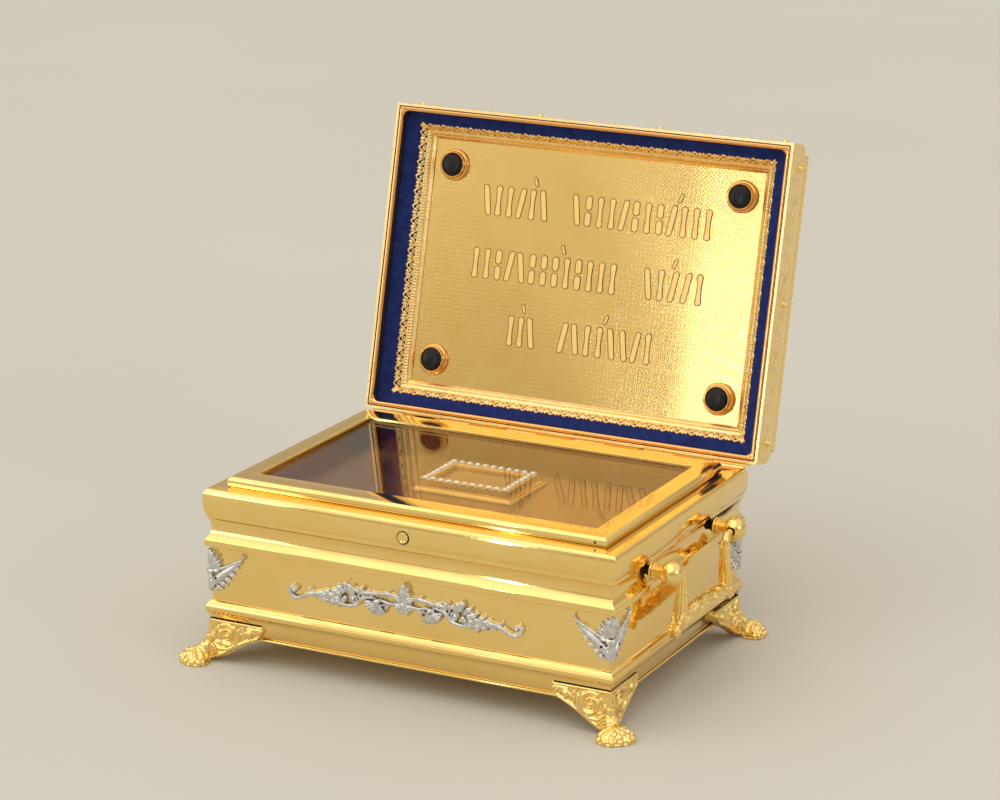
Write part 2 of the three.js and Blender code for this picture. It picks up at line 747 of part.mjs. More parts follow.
// velvet-covered liner pan, open to the front of the lid
piece(
  lid,
  "lid_liner",
  (() => {
    const outer = mouldedBlock(
      [
        [E1 + 0.4, -VELVET_DEPTH],
        [2.4, -VELVET_DEPTH],
        [2.4, -VELVET_DEPTH - 2],
        [E1 - 1, -VELVET_DEPTH - 2],
        [E2 - 1.4, -BORDER_DEPTH - 2],
        [E3 - 3, -PLATE_DEPTH - 2.8],
      ],
      LID_X,
      lidY,
      lidOpts,
    );
    const hollow = mouldedBlock(
      [
        [E1 + 0.4, 0],
        [E1 + 0.4, -VELVET_DEPTH],
        [E2, -BORDER_DEPTH],
        [E2, -BORDER_DEPTH - 0.6],
        [E3 - 1.6, -PLATE_DEPTH - 1.5],
      ],
      LID_X,
      lidY,
      lidOpts,
    );
    return cut(outer, hollow);
  })(),
  MAT.velvet,
);
piece(
  lid,
  "lid_border",
  moulding(
    [
      [E2 + 0.4, -BORDER_DEPTH + 0.2],
      [E2 + 1.4, -BORDER_DEPTH + 0.4],
      [E2 + 4, -BORDER_DEPTH - 3],
      [E2 + 5.2, -BORDER_DEPTH - 3.4],
      [E2 + 7, -BORDER_DEPTH - 6.4],
      [E3, -PLATE_DEPTH + 0.3],
      [E3 - 1.3, -PLATE_DEPTH - 0.2],
    ],
    LID_X,
    lidY,
    lidOpts,
  ),
  MAT.engraved,
);
piece(
  lid,
  "lid_plate",
  mouldedBlock(
    [
      [E3 + 0.3, -PLATE_DEPTH],
      [E3 + 0.3, -PLATE_DEPTH - 1.2],
    ],
    LID_X,
    lidY,
    lidOpts,
  ),
  MAT.engraved,
);

// dark domed buffers in gold cups, near the plate's corners
const BUFFER_NAMES = [];
for (const [iv, v] of BUFFER_V.entries())
  for (const s of [-1, 1]) {
    const name = (iv ? "front" : "back") + "_" + (s < 0 ? "left" : "right");
    BUFFER_NAMES.push(name);
    const cup = turned(
      [[DOME_R + 0.4, GAP], [CUP_R, GAP], [CUP_R, 1.7], [CUP_R - 1.5, 2.4], [CUP_R - 2.2, 4.9], [DOME_R + 0.4, 4.7], [DOME_R + 0.4, GAP]],
      12,
    ).translate(s * BUFFER_U, v, -PLATE_DEPTH);
    piece(lid, "buffer_cup_" + name, cup, MAT.gold);
    const dome = turned(
      [[0, GAP], [DOME_R, GAP], [DOME_R, 4.6], [DOME_R - 1, 5.7], [DOME_R - 3.8, 6.4], [0, DOME_H]],
      12,
    ).translate(s * BUFFER_U, v, -PLATE_DEPTH);
    piece(lid, "buffer_dome_" + name, dome, MAT.dome);
  }

// raised border strips on the lid's top: a recessed neck under a carved cap
{
  const E0 = 0.5;
  const strip = [
    [E0, -LID_DEPTH - 7.6],
    [E0, -LID_DEPTH - 3],
    [E0 + 2.6, -LID_DEPTH - 2.4],
    [E0 + 2.6, -LID_DEPTH - GAP],
    [E0 + 9.5, -LID_DEPTH - GAP],
    [E0 + 9.5, -LID_DEPTH - 2.4],
    [E0 + 13, -LID_DEPTH - 3],
    [E0 + 13, -LID_DEPTH - 6],
    [E0 + 9, -LID_DEPTH - 7.6],
  ];
  const ring = toSolid(moulding(strip, LID_X, lidY, { insetY: (e) => e + 7.5, cy: lidY }));
  const big = 500;
  const wedge = (quarter) => {
    // mitre planes through the ring's corners
    const hx = LID_X - E0;
    const hy = lidY - E0 - 7.5;
    const c = hx - hy;
    const tri =
      quarter === "right"
        ? [[c + GAP, 0], [c + GAP + big, -big], [c + GAP + big, big]]
        : [[-c, GAP], [c, GAP], [c + big, big + GAP], [-c - big, big + GAP]];
    const g = slab(tri, 40).translate(0, lidY, -60);
    return toSolid(g);
  };
  const right = toGeometry(ring.intersect(wedge("right")));
  const front = toGeometry(ring.intersect(wedge("front")));
  const flipV = (g) => {
    const c = g.clone();
    c.translate(0, -lidY, 0).scale(1, -1, 1).translate(0, lidY, 0);
    return c;
  };
  piece(lid, "lid_top_strip_right", right, MAT.engraved);
  piece(lid, "lid_top_strip_left", mirrored(right, -1, 1), MAT.engraved);
  piece(lid, "lid_top_strip_front", front, MAT.engraved);
  piece(lid, "lid_top_strip_back", flipV(front), MAT.engraved);
}

// domed studs round the lid's walls
const stud = turned([[0, GAP], [2.5, GAP], [2.5, 0.8], [1, 2.3], [0, 3.1]], 8);
const STUD_N = -16.7;
for (const [i, u] of [-141, -47, 47, 141].entries()) {
  const st = stud.clone().rotateX(-Math.PI / 2);
  piece(lid, "lid_stud_front_" + (i + 1), st.translate(u, LID_V, STUD_N), MAT.gold);
}
for (const [i, v] of [14.5, 111.4, 206].entries()) {
  const st = stud.clone().rotateY(Math.PI / 2);
  piece(lid, "lid_stud_right_" + (i + 1), st.clone().translate(LID_X, v, STUD_N), MAT.gold);
  piece(lid, "lid_stud_left_" + (i + 1), st.clone().scale(-1, 1, 1).translate(-LID_X, v, STUD_N), MAT.gold);
}

// lid half of the hinge
{
  const parts = [box(-half, half, -1.7, -0.3, -9, -0.3)];
  for (let k = 1; k < KNUCKLES; k += 2) {
    const x = (k - (KNUCKLES - 1) / 2) * PITCH;
    const w = (PITCH - 0.5) / 2;
    parts.push(knuckle(k, barrelV, barrelN), box(x - w, x + w, -2.4, -0.4, -0.8, barrelN + 1));
  }
  const bore = new THREE.CylinderGeometry(1.35, 1.35, 2 * half + 4, 8).rotateZ(Math.PI / 2).translate(0, barrelV, barrelN);
  piece(lid, "hinge_leaf_lid", cut(join(...parts), bore), MAT.gold);
}

lid.rotation.x = THREE.MathUtils.degToRad(90 - LID_LEAN);
lid.position.set(0, LID_EDGE_Y, RIM_Z + LID_EDGE_Z);
casket.add(lid);

// The origin stands on the floor, under the middle of the whole outline with
// the lid open.
const reliquary = new THREE.Group();
reliquary.add(casket);
reliquary.updateMatrixWorld(true);
const bounds = new THREE.Box3().setFromObject(casket, true);
casket.position.set(-(bounds.min.x + bounds.max.x) / 2, -(bounds.min.y + bounds.max.y) / 2, -bounds.min.z);
reliquary.updateMatrixWorld(true);

export default reliquary;
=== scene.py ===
# Gilt reliquary casket: the looks. Sizes are written in millimetres in a
# working frame whose z = 0 is the rim's top plane, and placed by the packed
# model's own boxes.
import json
import math

import bpy
import numpy as np
from mathutils import Matrix, Vector


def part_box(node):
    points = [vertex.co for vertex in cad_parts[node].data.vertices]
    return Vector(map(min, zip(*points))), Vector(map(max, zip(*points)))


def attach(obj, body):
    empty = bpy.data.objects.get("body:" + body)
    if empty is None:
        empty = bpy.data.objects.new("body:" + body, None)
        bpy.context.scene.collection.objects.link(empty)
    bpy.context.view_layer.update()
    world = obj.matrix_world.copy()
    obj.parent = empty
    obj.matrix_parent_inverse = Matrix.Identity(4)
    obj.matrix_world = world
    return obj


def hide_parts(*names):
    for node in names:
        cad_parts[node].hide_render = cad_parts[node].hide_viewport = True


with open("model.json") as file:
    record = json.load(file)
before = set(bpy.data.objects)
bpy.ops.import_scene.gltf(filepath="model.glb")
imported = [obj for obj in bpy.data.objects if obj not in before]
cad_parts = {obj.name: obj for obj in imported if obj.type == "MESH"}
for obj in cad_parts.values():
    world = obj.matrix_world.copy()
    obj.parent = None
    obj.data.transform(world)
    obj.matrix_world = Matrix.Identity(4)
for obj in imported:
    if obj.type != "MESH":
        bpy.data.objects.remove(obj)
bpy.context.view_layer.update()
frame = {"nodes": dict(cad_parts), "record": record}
NODES = frame["nodes"]

_lo, _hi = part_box("casket_body")
ORIGIN = np.array([(_lo.x + _hi.x) / 2, (_lo.y + _hi.y) / 2, _hi.z]) * 1000.0  # mm
PI = math.pi
TAU = 2 * math.pi

RIM_X, RIM_Y = 150.0, 108.0
LEAN = math.radians(12.84)
SL, CL = math.sin(LEAN), math.cos(LEAN)


# ------------------------------------------------------------ coordinates
def to_world(v):
    v = np.asarray(v, float).reshape(-1, 3)
    return (v + ORIGIN) * 0.001


def lid_to_frame(v):
    """(u, v, n) of the lid -> working frame; n is out of the open face."""
    v = np.asarray(v, float).reshape(-1, 3)
    return np.stack(
        [v[:, 0], 120.0 + v[:, 1] * SL - v[:, 2] * CL, -0.2 + v[:, 1] * CL + v[:, 2] * SL], 1
    )


class Geo:
    """Vertices and faces being gathered for one piece."""

    def __init__(self):
        self.v, self.f, self.n = [], [], 0
        self.attr = []

    def add(self, verts, faces, attr=None):
        verts = np.asarray(verts, float).reshape(-1, 3)
        if isinstance(faces, np.ndarray):
            self.f.extend((faces + self.n).tolist())
        else:
            k = self.n
            self.f.extend([[i + k for i in f] for f in faces])
        self.v.append(verts)
        self.attr.append(np.zeros(len(verts)) if attr is None else np.asarray(attr, float))
        self.n += len(verts)
        return self

    def extend(self, other, fn=None, flip=False):
        v = np.concatenate(other.v)
        if fn is not None:
            v = fn(v)
        faces = [f[::-1] for f in other.f] if flip else other.f
        return self.add(v, faces, np.concatenate(other.attr))

    def verts(self):
        return np.concatenate(self.v)

    def map(self, fn):
        v = fn(self.verts())
        self.v = [v]
        self.attr = [np.concatenate(self.attr)]
        return self


def make(name, geo, mat, body, replaces=(), sharp=38, lid=False, bevel=0.0, attr=None):
    v = geo.verts()
    if lid:
        v = lid_to_frame(v)
    me = bpy.data.meshes.new(name)
    me.from_pydata(to_world(v).tolist(), [], geo.f)
    me.validate()
    me.polygons.foreach_set("use_smooth", [True] * len(me.polygons))
    if sharp < 180:
        me.set_sharp_from_angle(angle=math.radians(sharp))
    if attr:
        a = me.attributes.new(attr, "FLOAT", "POINT")
        a.data.foreach_set("value", np.concatenate(geo.attr).astype(np.float32))
    me.materials.append(mat)
    ob = bpy.data.objects.new(name, me)
    bpy.context.scene.collection.objects.link(ob)
    if bevel:
        b = ob.modifiers.new("Bevel", "BEVEL")
        b.width, b.segments, b.limit_method = bevel / 1000.0, 2, "ANGLE"
        b.angle_limit = math.radians(50)
        b.harden_normals = False
    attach(ob, body)
    if replaces:
        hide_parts(*replaces)
    return ob


# --------------------------------------------------------------- shaping
def curve(points, step=0.5, sharp=()):
    """A smooth line through 2-D points, with true corners at the listed indices."""
    pts = np.asarray(points, float)
    out = []
    cuts = sorted({0, len(pts) - 1, *sharp})
    for a, b in zip(cuts[:-1], cuts[1:]):
        run = pts[a : b + 1]
        if len(run) == 2:
            out.extend(run[:-1].tolist())
            continue
        ext = np.vstack([2 * run[0] - run[1], run, 2 * run[-1] - run[-2]])
        for i in range(1, len(ext) - 2):
            p0, p1, p2, p3 = ext[i - 1 : i + 3]
            n = max(2, int(np.linalg.norm(p2 - p1) / step))
            for t in np.arange(n) / n:
                out.append(
                    (
                        0.5
                        * (
                            2 * p1
                            + (p2 - p0) * t
                            + (2 * p0 - 5 * p1 + 4 * p2 - p3) * t**2
                            + (3 * p1 - p0 - 3 * p2 + p3) * t**3
                        )
                    ).tolist()
                )
    out.append(pts[-1].tolist())
    return out


def grid_faces(nu, nv, close_u=False, close_v=False):
    iu = np.arange(nu if close_u else nu - 1)
    iv = np.arange(nv if close_v else nv - 1)
    a, b = np.meshgrid(iu, iv, indexing="ij")
    a, b = a.ravel(), b.ravel()
    a2, b2 = (a + 1) % nu, (b + 1) % nv
    return np.stack([a * nv + b, a2 * nv + b, a2 * nv + b2, a * nv + b2], 1)


def moulding(profile, hx, hy, rc=0.5, inset_y=None, cy=0.0, close=True, seg=3, caps=False):
    """A moulding run round a rectangle; the profile is [inset, height]."""
    prof = np.asarray(profile, float)
    e, z = prof[:, 0], prof[:, 1]
    rc = np.array([rc(q) for q in e]) if callable(rc) else rc
    ey = e if inset_y is None else np.array([inset_y(q) for q in e])
    rings = []
    for sx, sy, a0 in ((1, -1, -PI / 2), (1, 1, 0), (-1, 1, PI / 2), (-1, -1, PI)):
        for k in range(seg + 1):
            a = a0 + PI / 2 * k / seg
            rings.append(
                np.stack(
                    [
                        sx * (hx - e - rc) + rc * math.cos(a),
                        sy * (hy - ey - rc) + rc * math.sin(a) + cy,
                        z + 0 * e,
                    ],
                    1,
                )
            )
    v = np.concatenate(rings)
    n = len(rings)
    f = grid_faces(n, len(prof), close_u=True, close_v=close)
    g = Geo()
    g.add(v, f)
    if caps:
        g.f.append([k * len(prof) for k in range(n)][::-1])
        g.f.append([k * len(prof) + len(prof) - 1 for k in range(n)])
    return g


def turned(pairs, seg=32, radial=None):
    """Lathe about +Z from [radius, z]; radial(angle, i) may change a radius."""
    p = np.asarray(pairs, float)
    ang = np.arange(seg) * TAU / seg
    r = np.repeat(p[None, :, 0], seg, 0)
    z = np.repeat(p[None, :, 1], seg, 0)
    if radial is not None:
        r, z = radial(ang[:, None], r, z)
    v = np.stack([r * np.cos(ang)[:, None], r * np.sin(ang)[:, None], z], 2).reshape(-1, 3)
    g = Geo()
    g.add(v, grid_faces(seg, len(p), close_u=True))
    return g


def place(axis, at):
    """Turns +Z onto axis and moves the origin to at."""
    m = np.array(Vector((0, 0, 1)).rotation_difference(Vector(axis)).to_matrix())
    at = np.asarray(at, float)
    return lambda v: v @ m.T + at


def tube(points, radii, sides=10, flat=None):
    """A round bar along 3-D points with a radius at each, ends closed to points."""
    p = np.asarray(points, float)
    r = np.broadcast_to(np.asarray(radii, float), (len(p),)).copy()
    t = np.gradient(p, axis=0)
    t /= np.linalg.norm(t, axis=1)[:, None] + 1e-12
    up = np.array([0.0, 0, 1]) if abs(t[0][2]) < 0.9 else np.array([1.0, 0, 0])
    if flat is not None:
        up = np.asarray(flat[0], float)
    u = np.cross(t, up)
    for i in range(len(u)):
        if np.linalg.norm(u[i]) < 1e-6:
            u[i] = u[i - 1] if i else np.array([1.0, 0, 0])
    u /= np.linalg.norm(u, axis=1)[:, None]
    w = np.cross(u, t)
    k = 1.0 if flat is None else flat[1]
    a = np.arange(sides) * TAU / sides
    v = (
        p[:, None, :]
        + u[:, None, :] * (np.cos(a)[None, :, None] * r[:, None, None])
        + w[:, None, :] * (np.sin(a)[None, :, None] * r[:, None, None] * k)
    ).reshape(-1, 3)
    g = Geo()
    g.add(v, grid_faces(len(p), sides, close_v=True))
    g.f.append(list(range(sides))[::-1])
    g.f.append([(len(p) - 1) * sides + i for i in range(sides)])
    return g


def ball(c, r, seg=14, rings=9, scale=(1, 1, 1)):
    pairs = [[r * math.sin(PI * i / rings), -r * math.cos(PI * i / rings)] for i in range(rings + 1)]
    g = turned(pairs, seg)
    s = np.asarray(scale, float)
    c = np.asarray(c, float)
    return g.map(lambda v: v * s + c)


def spline3(points, n):
    p = np.asarray(points, float)
    d = np.r_[0, np.cumsum(np.linalg.norm(np.diff(p, axis=0), axis=1))]
    ext = np.vstack([2 * p[0] - p[1], p, 2 * p[-1] - p[-2]])
    out = []
    for s in np.linspace(0, d[-1], n):
        i = min(len(p) - 2, int(np.searchsorted(d, s, side="right") - 1))
        t = (s - d[i]) / (d[i + 1] - d[i])
        p0, p1, p2, p3 = ext[i : i + 4]
        out.append(
            0.5
            * (
                2 * p1
                + (p2 - p0) * t
                + (2 * p0 - 5 * p1 + 4 * p2 - p3) * t**2
                + (3 * p1 - p0 - 3 * p2 + p3) * t**3
            )
        )
    return np.array(out)


# ---- relief: a height field in (a, b), built up from strokes and leaves
class Relief:
    def __init__(self, a0, a1, b0, b1, cell):
        self.cell = cell
        self.a = np.arange(a0, a1 + cell, cell)
        self.b = np.arange(b0, b1 + cell, cell)
        self.A, self.B = np.meshgrid(self.a, self.b, indexing="ij")
        self.h = np.full(self.A.shape, -9.0)

    def _win(self, lo, hi):
        i0 = max(0, int((lo[0] - self.a[0]) / self.cell) - 1)
        i1 = min(len(self.a), int((hi[0] - self.a[0]) / self.cell) + 3)
        j0 = max(0, int((lo[1] - self.b[0]) / self.cell) - 1)
        j1 = min(len(self.b), int((hi[1] - self.b[0]) / self.cell) + 3)
        return slice(i0, i1), slice(j0, j1)

    def put(self, win, h):
        self.h[win] = np.maximum(self.h[win], h)

    def stroke(self, pts, radii, base=0.8, lift=1.0, groove=0.0):
        """A rounded ridge along a line; groove > 0 cuts a line down its middle."""
        p = np.asarray(pts, float)
        r = np.broadcast_to(np.asarray(radii, float), (len(p),))
        for i in range(len(p) - 1):
            a, b, ra, rb = p[i], p[i + 1], r[i], r[i + 1]
            m = max(ra, rb) + self.cell
            win = self._win(np.minimum(a, b) - m, np.maximum(a, b) + m)
            A, B = self.A[win], self.B[win]
            if A.size == 0:
                continue
            d = b - a
            t = np.clip(((A - a[0]) * d[0] + (B - a[1]) * d[1]) / (d @ d + 1e-12), 0, 1)
            rr = ra + (rb - ra) * t
            dist = np.hypot(A - a[0] - t * d[0], B - a[1] - t * d[1])
            q = dist / np.maximum(rr, 1e-6)
            h = base + lift * rr * np.sqrt(np.clip(1 - q**2, 0, 1))
            if groove:
                h = h - groove * rr * np.exp(-((q / 0.28) ** 2))
            self.put(win, np.where(q < 1, h, -9.0))

    def leaf(self, x, y, length, width, ang, lobes=4, base=0.8, lift=1.6, depth=0.34, curl=0.0, vein=0.35):
        """An acanthus leaf from (x, y) along ang, with lobed edges and veins."""
        m = length + width
        win = self._win(np.array([x - m, y - m]), np.array([x + m, y + m]))
        A, B = self.A[win] - x, self.B[win] - y
        s = (A * math.cos(ang) + B * math.sin(ang)) / length
        t = -A * math.sin(ang) + B * math.cos(ang) - curl * length * s * s
        sc = np.clip(s, 0, 1)
        env = np.sin(PI * np.clip(sc * 0.9 + 0.1, 0, 1)) ** 0.75 * width
        k = sc + 0.35 * np.abs(t) / max(width, 1e-6) * 0.5
        saw = np.abs(np.sin(PI * lobes * k)) ** 0.6
        w = env * (1 - depth * (1 - saw)) + 1e-3
        q = np.abs(t) / w
        h = base + lift * (1 - q**2.2) ** 1.0 * (0.55 + 0.45 * np.sin(PI * sc))
        h = h + vein * (saw - 0.6) * np.clip(q * 1.6, 0, 1) - vein * np.exp(-((t / (0.12 * width + 0.08)) ** 2))
        self.put(win, np.where((s >= 0) & (s <= 1) & (q < 1), h, -9.0))

    def fan(self, x, y, r, ang, spread, ribs, base=0.8, lift=1.8):
        win = self._win(np.array([x - r, y - r]), np.array([x + r, y + r]))
        A, B = self.A[win] - x, self.B[win] - y
        rad = np.hypot(A, B) / r
        th = (np.arctan2(B, A) - ang + PI) % TAU - PI
        k = th / spread
        rib = np.abs(np.cos(PI * ribs * (k + 1) / 2 + PI / 2 * (ribs + 1)))
        edge = 0.86 + 0.14 * rib**0.5
        h = base + lift * np.sin(PI * np.clip(rad, 0, 1) * 0.62 + 0.2) * (0.45 + 0.55 * rib**0.8)
        self.put(win, np.where((np.abs(k) < 1) & (rad < edge), h, -9.0))

    def dot(self, x, y, r, base=0.8, lift=1.0):
        win = self._win(np.array([x - r, y - r]), np.array([x + r, y + r]))
        q = np.hypot(self.A[win] - x, self.B[win] - y) / r
        self.put(win, np.where(q < 1, base + lift * r * np.sqrt(np.clip(1 - q**2, 0, 1)), -9.0))

    def geo(self, fn, sink=-0.35, mirror_b=False):
        """fn(a, b, h) -> 3-D; cells with nothing in them are left open."""
        solid = self.h > -1
        keep = solid[:-1, :-1] | solid[1:, :-1] | solid[:-1, 1:] | solid[1:, 1:]
        used = np.zeros_like(solid)
        used[:-1, :-1] |= keep
        used[1:, :-1] |= keep
        used[:-1, 1:] |= keep
        used[1:, 1:] |= keep
        idx = np.full(solid.shape, -1)
        idx[used] = np.arange(used.sum())
        h = np.where(solid, self.h, sink)
        v = fn(self.A[used], self.B[used], h[used])
        i, j = np.nonzero(keep)
        f = np.stack([idx[i, j], idx[i + 1, j], idx[i + 1, j + 1], idx[i, j + 1]], 1)
        g = Geo()
        g.add(v, f)
        return g


def spiral(cx, cy, r0, r1, a0, turns, n=40):
    t = np.linspace(0, 1, n)
    a = a0 + turns * TAU * t
    r = r0 + (r1 - r0) * t
    return np.stack([cx + r * np.cos(a), cy + r * np.sin(a)], 1)


# -------------------------------------------------------------- materials
def srgb(r, g, b):
    return [(c / 255 / 12.92 if c / 255 <= 0.04045 else ((c / 255 + 0.055) / 1.055) ** 2.4) for c in (r, g, b)] + [1.0]


def new_mat(name):
    m = bpy.data.materials.new(name)
    m.use_nodes = True
    nt = m.node_tree
    return m, nt, nt.nodes["Principled BSDF"]


def noise(nt, scale, detail=3.0, rough=0.5, coord="Object", dist=0.0):
    tc = nt.nodes.new("ShaderNodeTexCoord")
    n = nt.nodes.new("ShaderNodeTexNoise")
    n.inputs["Scale"].default_value = scale
    n.inputs["Detail"].default_value = detail
    n.inputs["Roughness"].default_value = rough
    n.inputs["Distortion"].default_value = dist
    nt.links.new(tc.outputs[coord], n.inputs["Vector"])
    return n


def ramp(nt, src, lo, hi, out_lo, out_hi):
    m = nt.nodes.new("ShaderNodeMapRange")
    m.inputs["From Min"].default_value = lo
    m.inputs["From Max"].default_value = hi
    m.inputs["To Min"].default_value = out_lo
    m.inputs["To Max"].default_value = out_hi
    nt.links.new(src, m.inputs["Value"])
    return m.outputs["Result"]


def mix_colour(nt, fac, a, b):
    m = nt.nodes.new("ShaderNodeMix")
    m.data_type = "RGBA"
    if isinstance(fac, float):
        m.inputs["Factor"].default_value = fac
    else:
        nt.links.new(fac, m.inputs["Factor"])
    for key, val in (("A", a), ("B", b)):
        sock = [s for s in m.inputs if s.name == key and s.type == "RGBA"][0]
        if isinstance(val, (list, tuple)):
            sock.default_value = val
        else:
            nt.links.new(val, sock)
    return [s for s in m.outputs if s.type == "RGBA"][0]


def bump(nt, height, strength, distance):
    b = nt.nodes.new("ShaderNodeBump")
    b.inputs["Strength"].default_value = strength
    b.inputs["Distance"].default_value = distance
    nt.links.new(height, b.inputs["Height"])
    return b


GOLD = (0.98, 0.72, 0.27, 1.0)
GOLD_DEEP = (0.92, 0.60, 0.17, 1.0)
GOLD_PALE = (1.0, 0.79, 0.40, 1.0)


def gold(name, rough=0.1, spread=0.05, wave=0.03, wave_scale=40, colour=GOLD, deep=GOLD_DEEP, grain=0.0, grain_scale=900):
    m, nt, b = new_mat(name)
    b.inputs["Metallic"].default_value = 1.0
    n1 = noise(nt, 25, 4, 0.6)
    nt.links.new(mix_colour(nt, ramp(nt, n1.outputs["Fac"], 0.3, 0.75, 0.0, 0.45), colour, deep), b.inputs["Base Color"])
    n2 = noise(nt, 420, 3, 0.7)
    nt.links.new(ramp(nt, n2.outputs["Fac"], 0.3, 0.7, rough - spread / 2, rough + spread / 2), b.inputs["Roughness"])
    w = noise(nt, wave_scale, 1.5, 0.4)
    bb = bump(nt, w.outputs["Fac"], wave, 0.002)
    if grain:
        g = noise(nt, grain_scale, 2, 0.6)
        b2 = bump(nt, g.outputs["Fac"], grain, 0.0004)
        nt.links.new(bb.outputs["Normal"], b2.inputs["Normal"])
        bb = b2
    nt.links.new(bb.outputs["Normal"], b.inputs["Normal"])
    return m


M_POLISH = gold("gold_polished", 0.09, 0.05, 0.05, 30)
M_CAST = gold("gold_cast", 0.17, 0.08, 0.10, 120, grain=0.12, grain_scale=1400)
# satin gold for the tray and the capsule bezel; its colour is darkened far below gold's own as painted shade and
# reflection inside the glazed box
M_TRAY = gold("gold_satin_painted_shade", 0.24, 0.06, 0.03, 60, colour=(0.35, 0.13, 0.017, 1), deep=(0.26, 0.085, 0.010, 1))
# rim gold darkened towards copper-orange: partly the gold's own colour, partly painted reflection of the warm gold
# light round it
M_RIM = gold("gold_rim_painted_reflection", 0.13, 0.06, 0.06, 60, colour=(0.82, 0.46, 0.17, 1), deep=(0.70, 0.34, 0.10, 1))
M_FRIEZE = gold("gold_frieze", 0.24, 0.10, 0.10, 160, colour=GOLD_PALE, grain=0.3, grain_scale=1100)
M_STONE_SET = gold("gold_setting", 0.2, 0.08, 0.1, 200)


def silver(name):
    m, nt, b = new_mat(name)
    b.inputs["Metallic"].default_value = 1.0
    n1 = noise(nt, 320, 4, 0.65)
    nt.links.new(mix_colour(nt, ramp(nt, n1.outputs["Fac"], 0.35, 0.7, 0, 1), (0.80, 0.79, 0.77, 1), (0.50, 0.48, 0.46, 1)), b.inputs["Base Color"])
    n2 = noise(nt, 900, 2, 0.6)
    nt.links.new(ramp(nt, n2.outputs["Fac"], 0.3, 0.7, 0.2, 0.4), b.inputs["Roughness"])
    bb = bump(nt, n2.outputs["Fac"], 0.25, 0.0005)
    nt.links.new(bb.outputs["Normal"], b.inputs["Normal"])
    return m


M_SILVER = silver("rhodium")


def velvet_mat():
    m, nt, b = new_mat("blue_velvet")
    n1 = noise(nt, 160, 5, 0.7)
    nt.links.new(mix_colour(nt, ramp(nt, n1.outputs["Fac"], 0.3, 0.72, 0, 1), (0.010, 0.019, 0.10, 1), (0.022, 0.040, 0.20, 1)), b.inputs["Base Color"])
    b.inputs["Roughness"].default_value = 0.95
    b.inputs["Specular IOR Level"].default_value = 0.15
    b.inputs["Sheen Weight"].default_value = 0.6
    b.inputs["Sheen Roughness"].default_value = 0.35
    b.inputs["Sheen Tint"].default_value = (0.15, 0.25, 0.9, 1)
    n2 = noise(nt, 2600, 2, 0.8)
    bb = bump(nt, n2.outputs["Fac"], 0.7, 0.0006)
    nt.links.new(bb.outputs["Normal"], b.inputs["Normal"])
    return m


M_VELVET = velvet_mat()


def glass_mat():
    m, nt, b = new_mat("clear_glass")
    b.inputs["Base Color"].default_value = (0.985, 0.985, 0.975, 1)
    b.inputs["Roughness"].default_value = 0.0
    b.inputs["IOR"].default_value = 1.22
    b.inputs["Transmission Weight"].default_value = 1.0
    w = noise(nt, 14, 1, 0.4)
    bb = bump(nt, w.outputs["Fac"], 0.02, 0.001)
    nt.links.new(bb.outputs["Normal"], b.inputs["Normal"])
    return m


M_GLASS = glass_mat()


def dome_mat():
    m, nt, b = new_mat("black_dome")
    n1 = noise(nt, 300, 3, 0.6)
    nt.links.new(mix_colour(nt, ramp(nt, n1.outputs["Fac"], 0.35, 0.7, 0, 1), (0.004, 0.004, 0.005, 1), (0.012, 0.011, 0.011, 1)), b.inputs["Base Color"])
    nt.links.new(ramp(nt, n1.outputs["Fac"], 0.3, 0.7, 0.26, 0.36), b.inputs["Roughness"])
    b.inputs["Specular IOR Level"].default_value = 0.22
    b.inputs["Coat Weight"].default_value = 0.1
    b.inputs["Coat Roughness"].default_value = 0.06
    return m


M_DOME = dome_mat()


def gem_mat():
    m, nt, b = new_mat("clear_stone")
    n1 = noise(nt, 500, 1, 0.5)
    nt.links.new(mix_colour(nt, ramp(nt, n1.outputs["Fac"], 0.4, 0.6, 0, 1), (0.95, 0.96, 0.99, 1), (0.80, 0.84, 0.92, 1)), b.inputs["Base Color"])
    b.inputs["Roughness"].default_value = 0.03
    b.inputs["IOR"].default_value = 2.0
    b.inputs["Transmission Weight"].default_value = 0.35
    b.inputs["Coat Weight"].default_value = 1.0
    b.inputs["Coat Roughness"].default_value = 0.02
    return m


M_GEM = gem_mat()


# dark brown metal used as painted shade: dark strips and collars laid in grooves, gaps and under edges where shade
# falls; also used on the frame's small screw head
def dark_and_shade_mat():
    m, nt, b = new_mat("dark_metal_and_painted_shade")
    b.inputs["Metallic"].default_value = 0.6
    n1 = noise(nt, 400, 2, 0.6)
    nt.links.new(mix_colour(nt, ramp(nt, n1.outputs["Fac"], 0.35, 0.7, 0, 1), (0.02, 0.012, 0.006, 1), (0.05, 0.03, 0.014, 1)), b.inputs["Base Color"])
    b.inputs["Roughness"].default_value = 0.5
    return m


M_DARK_AND_SHADE = dark_and_shade_mat()


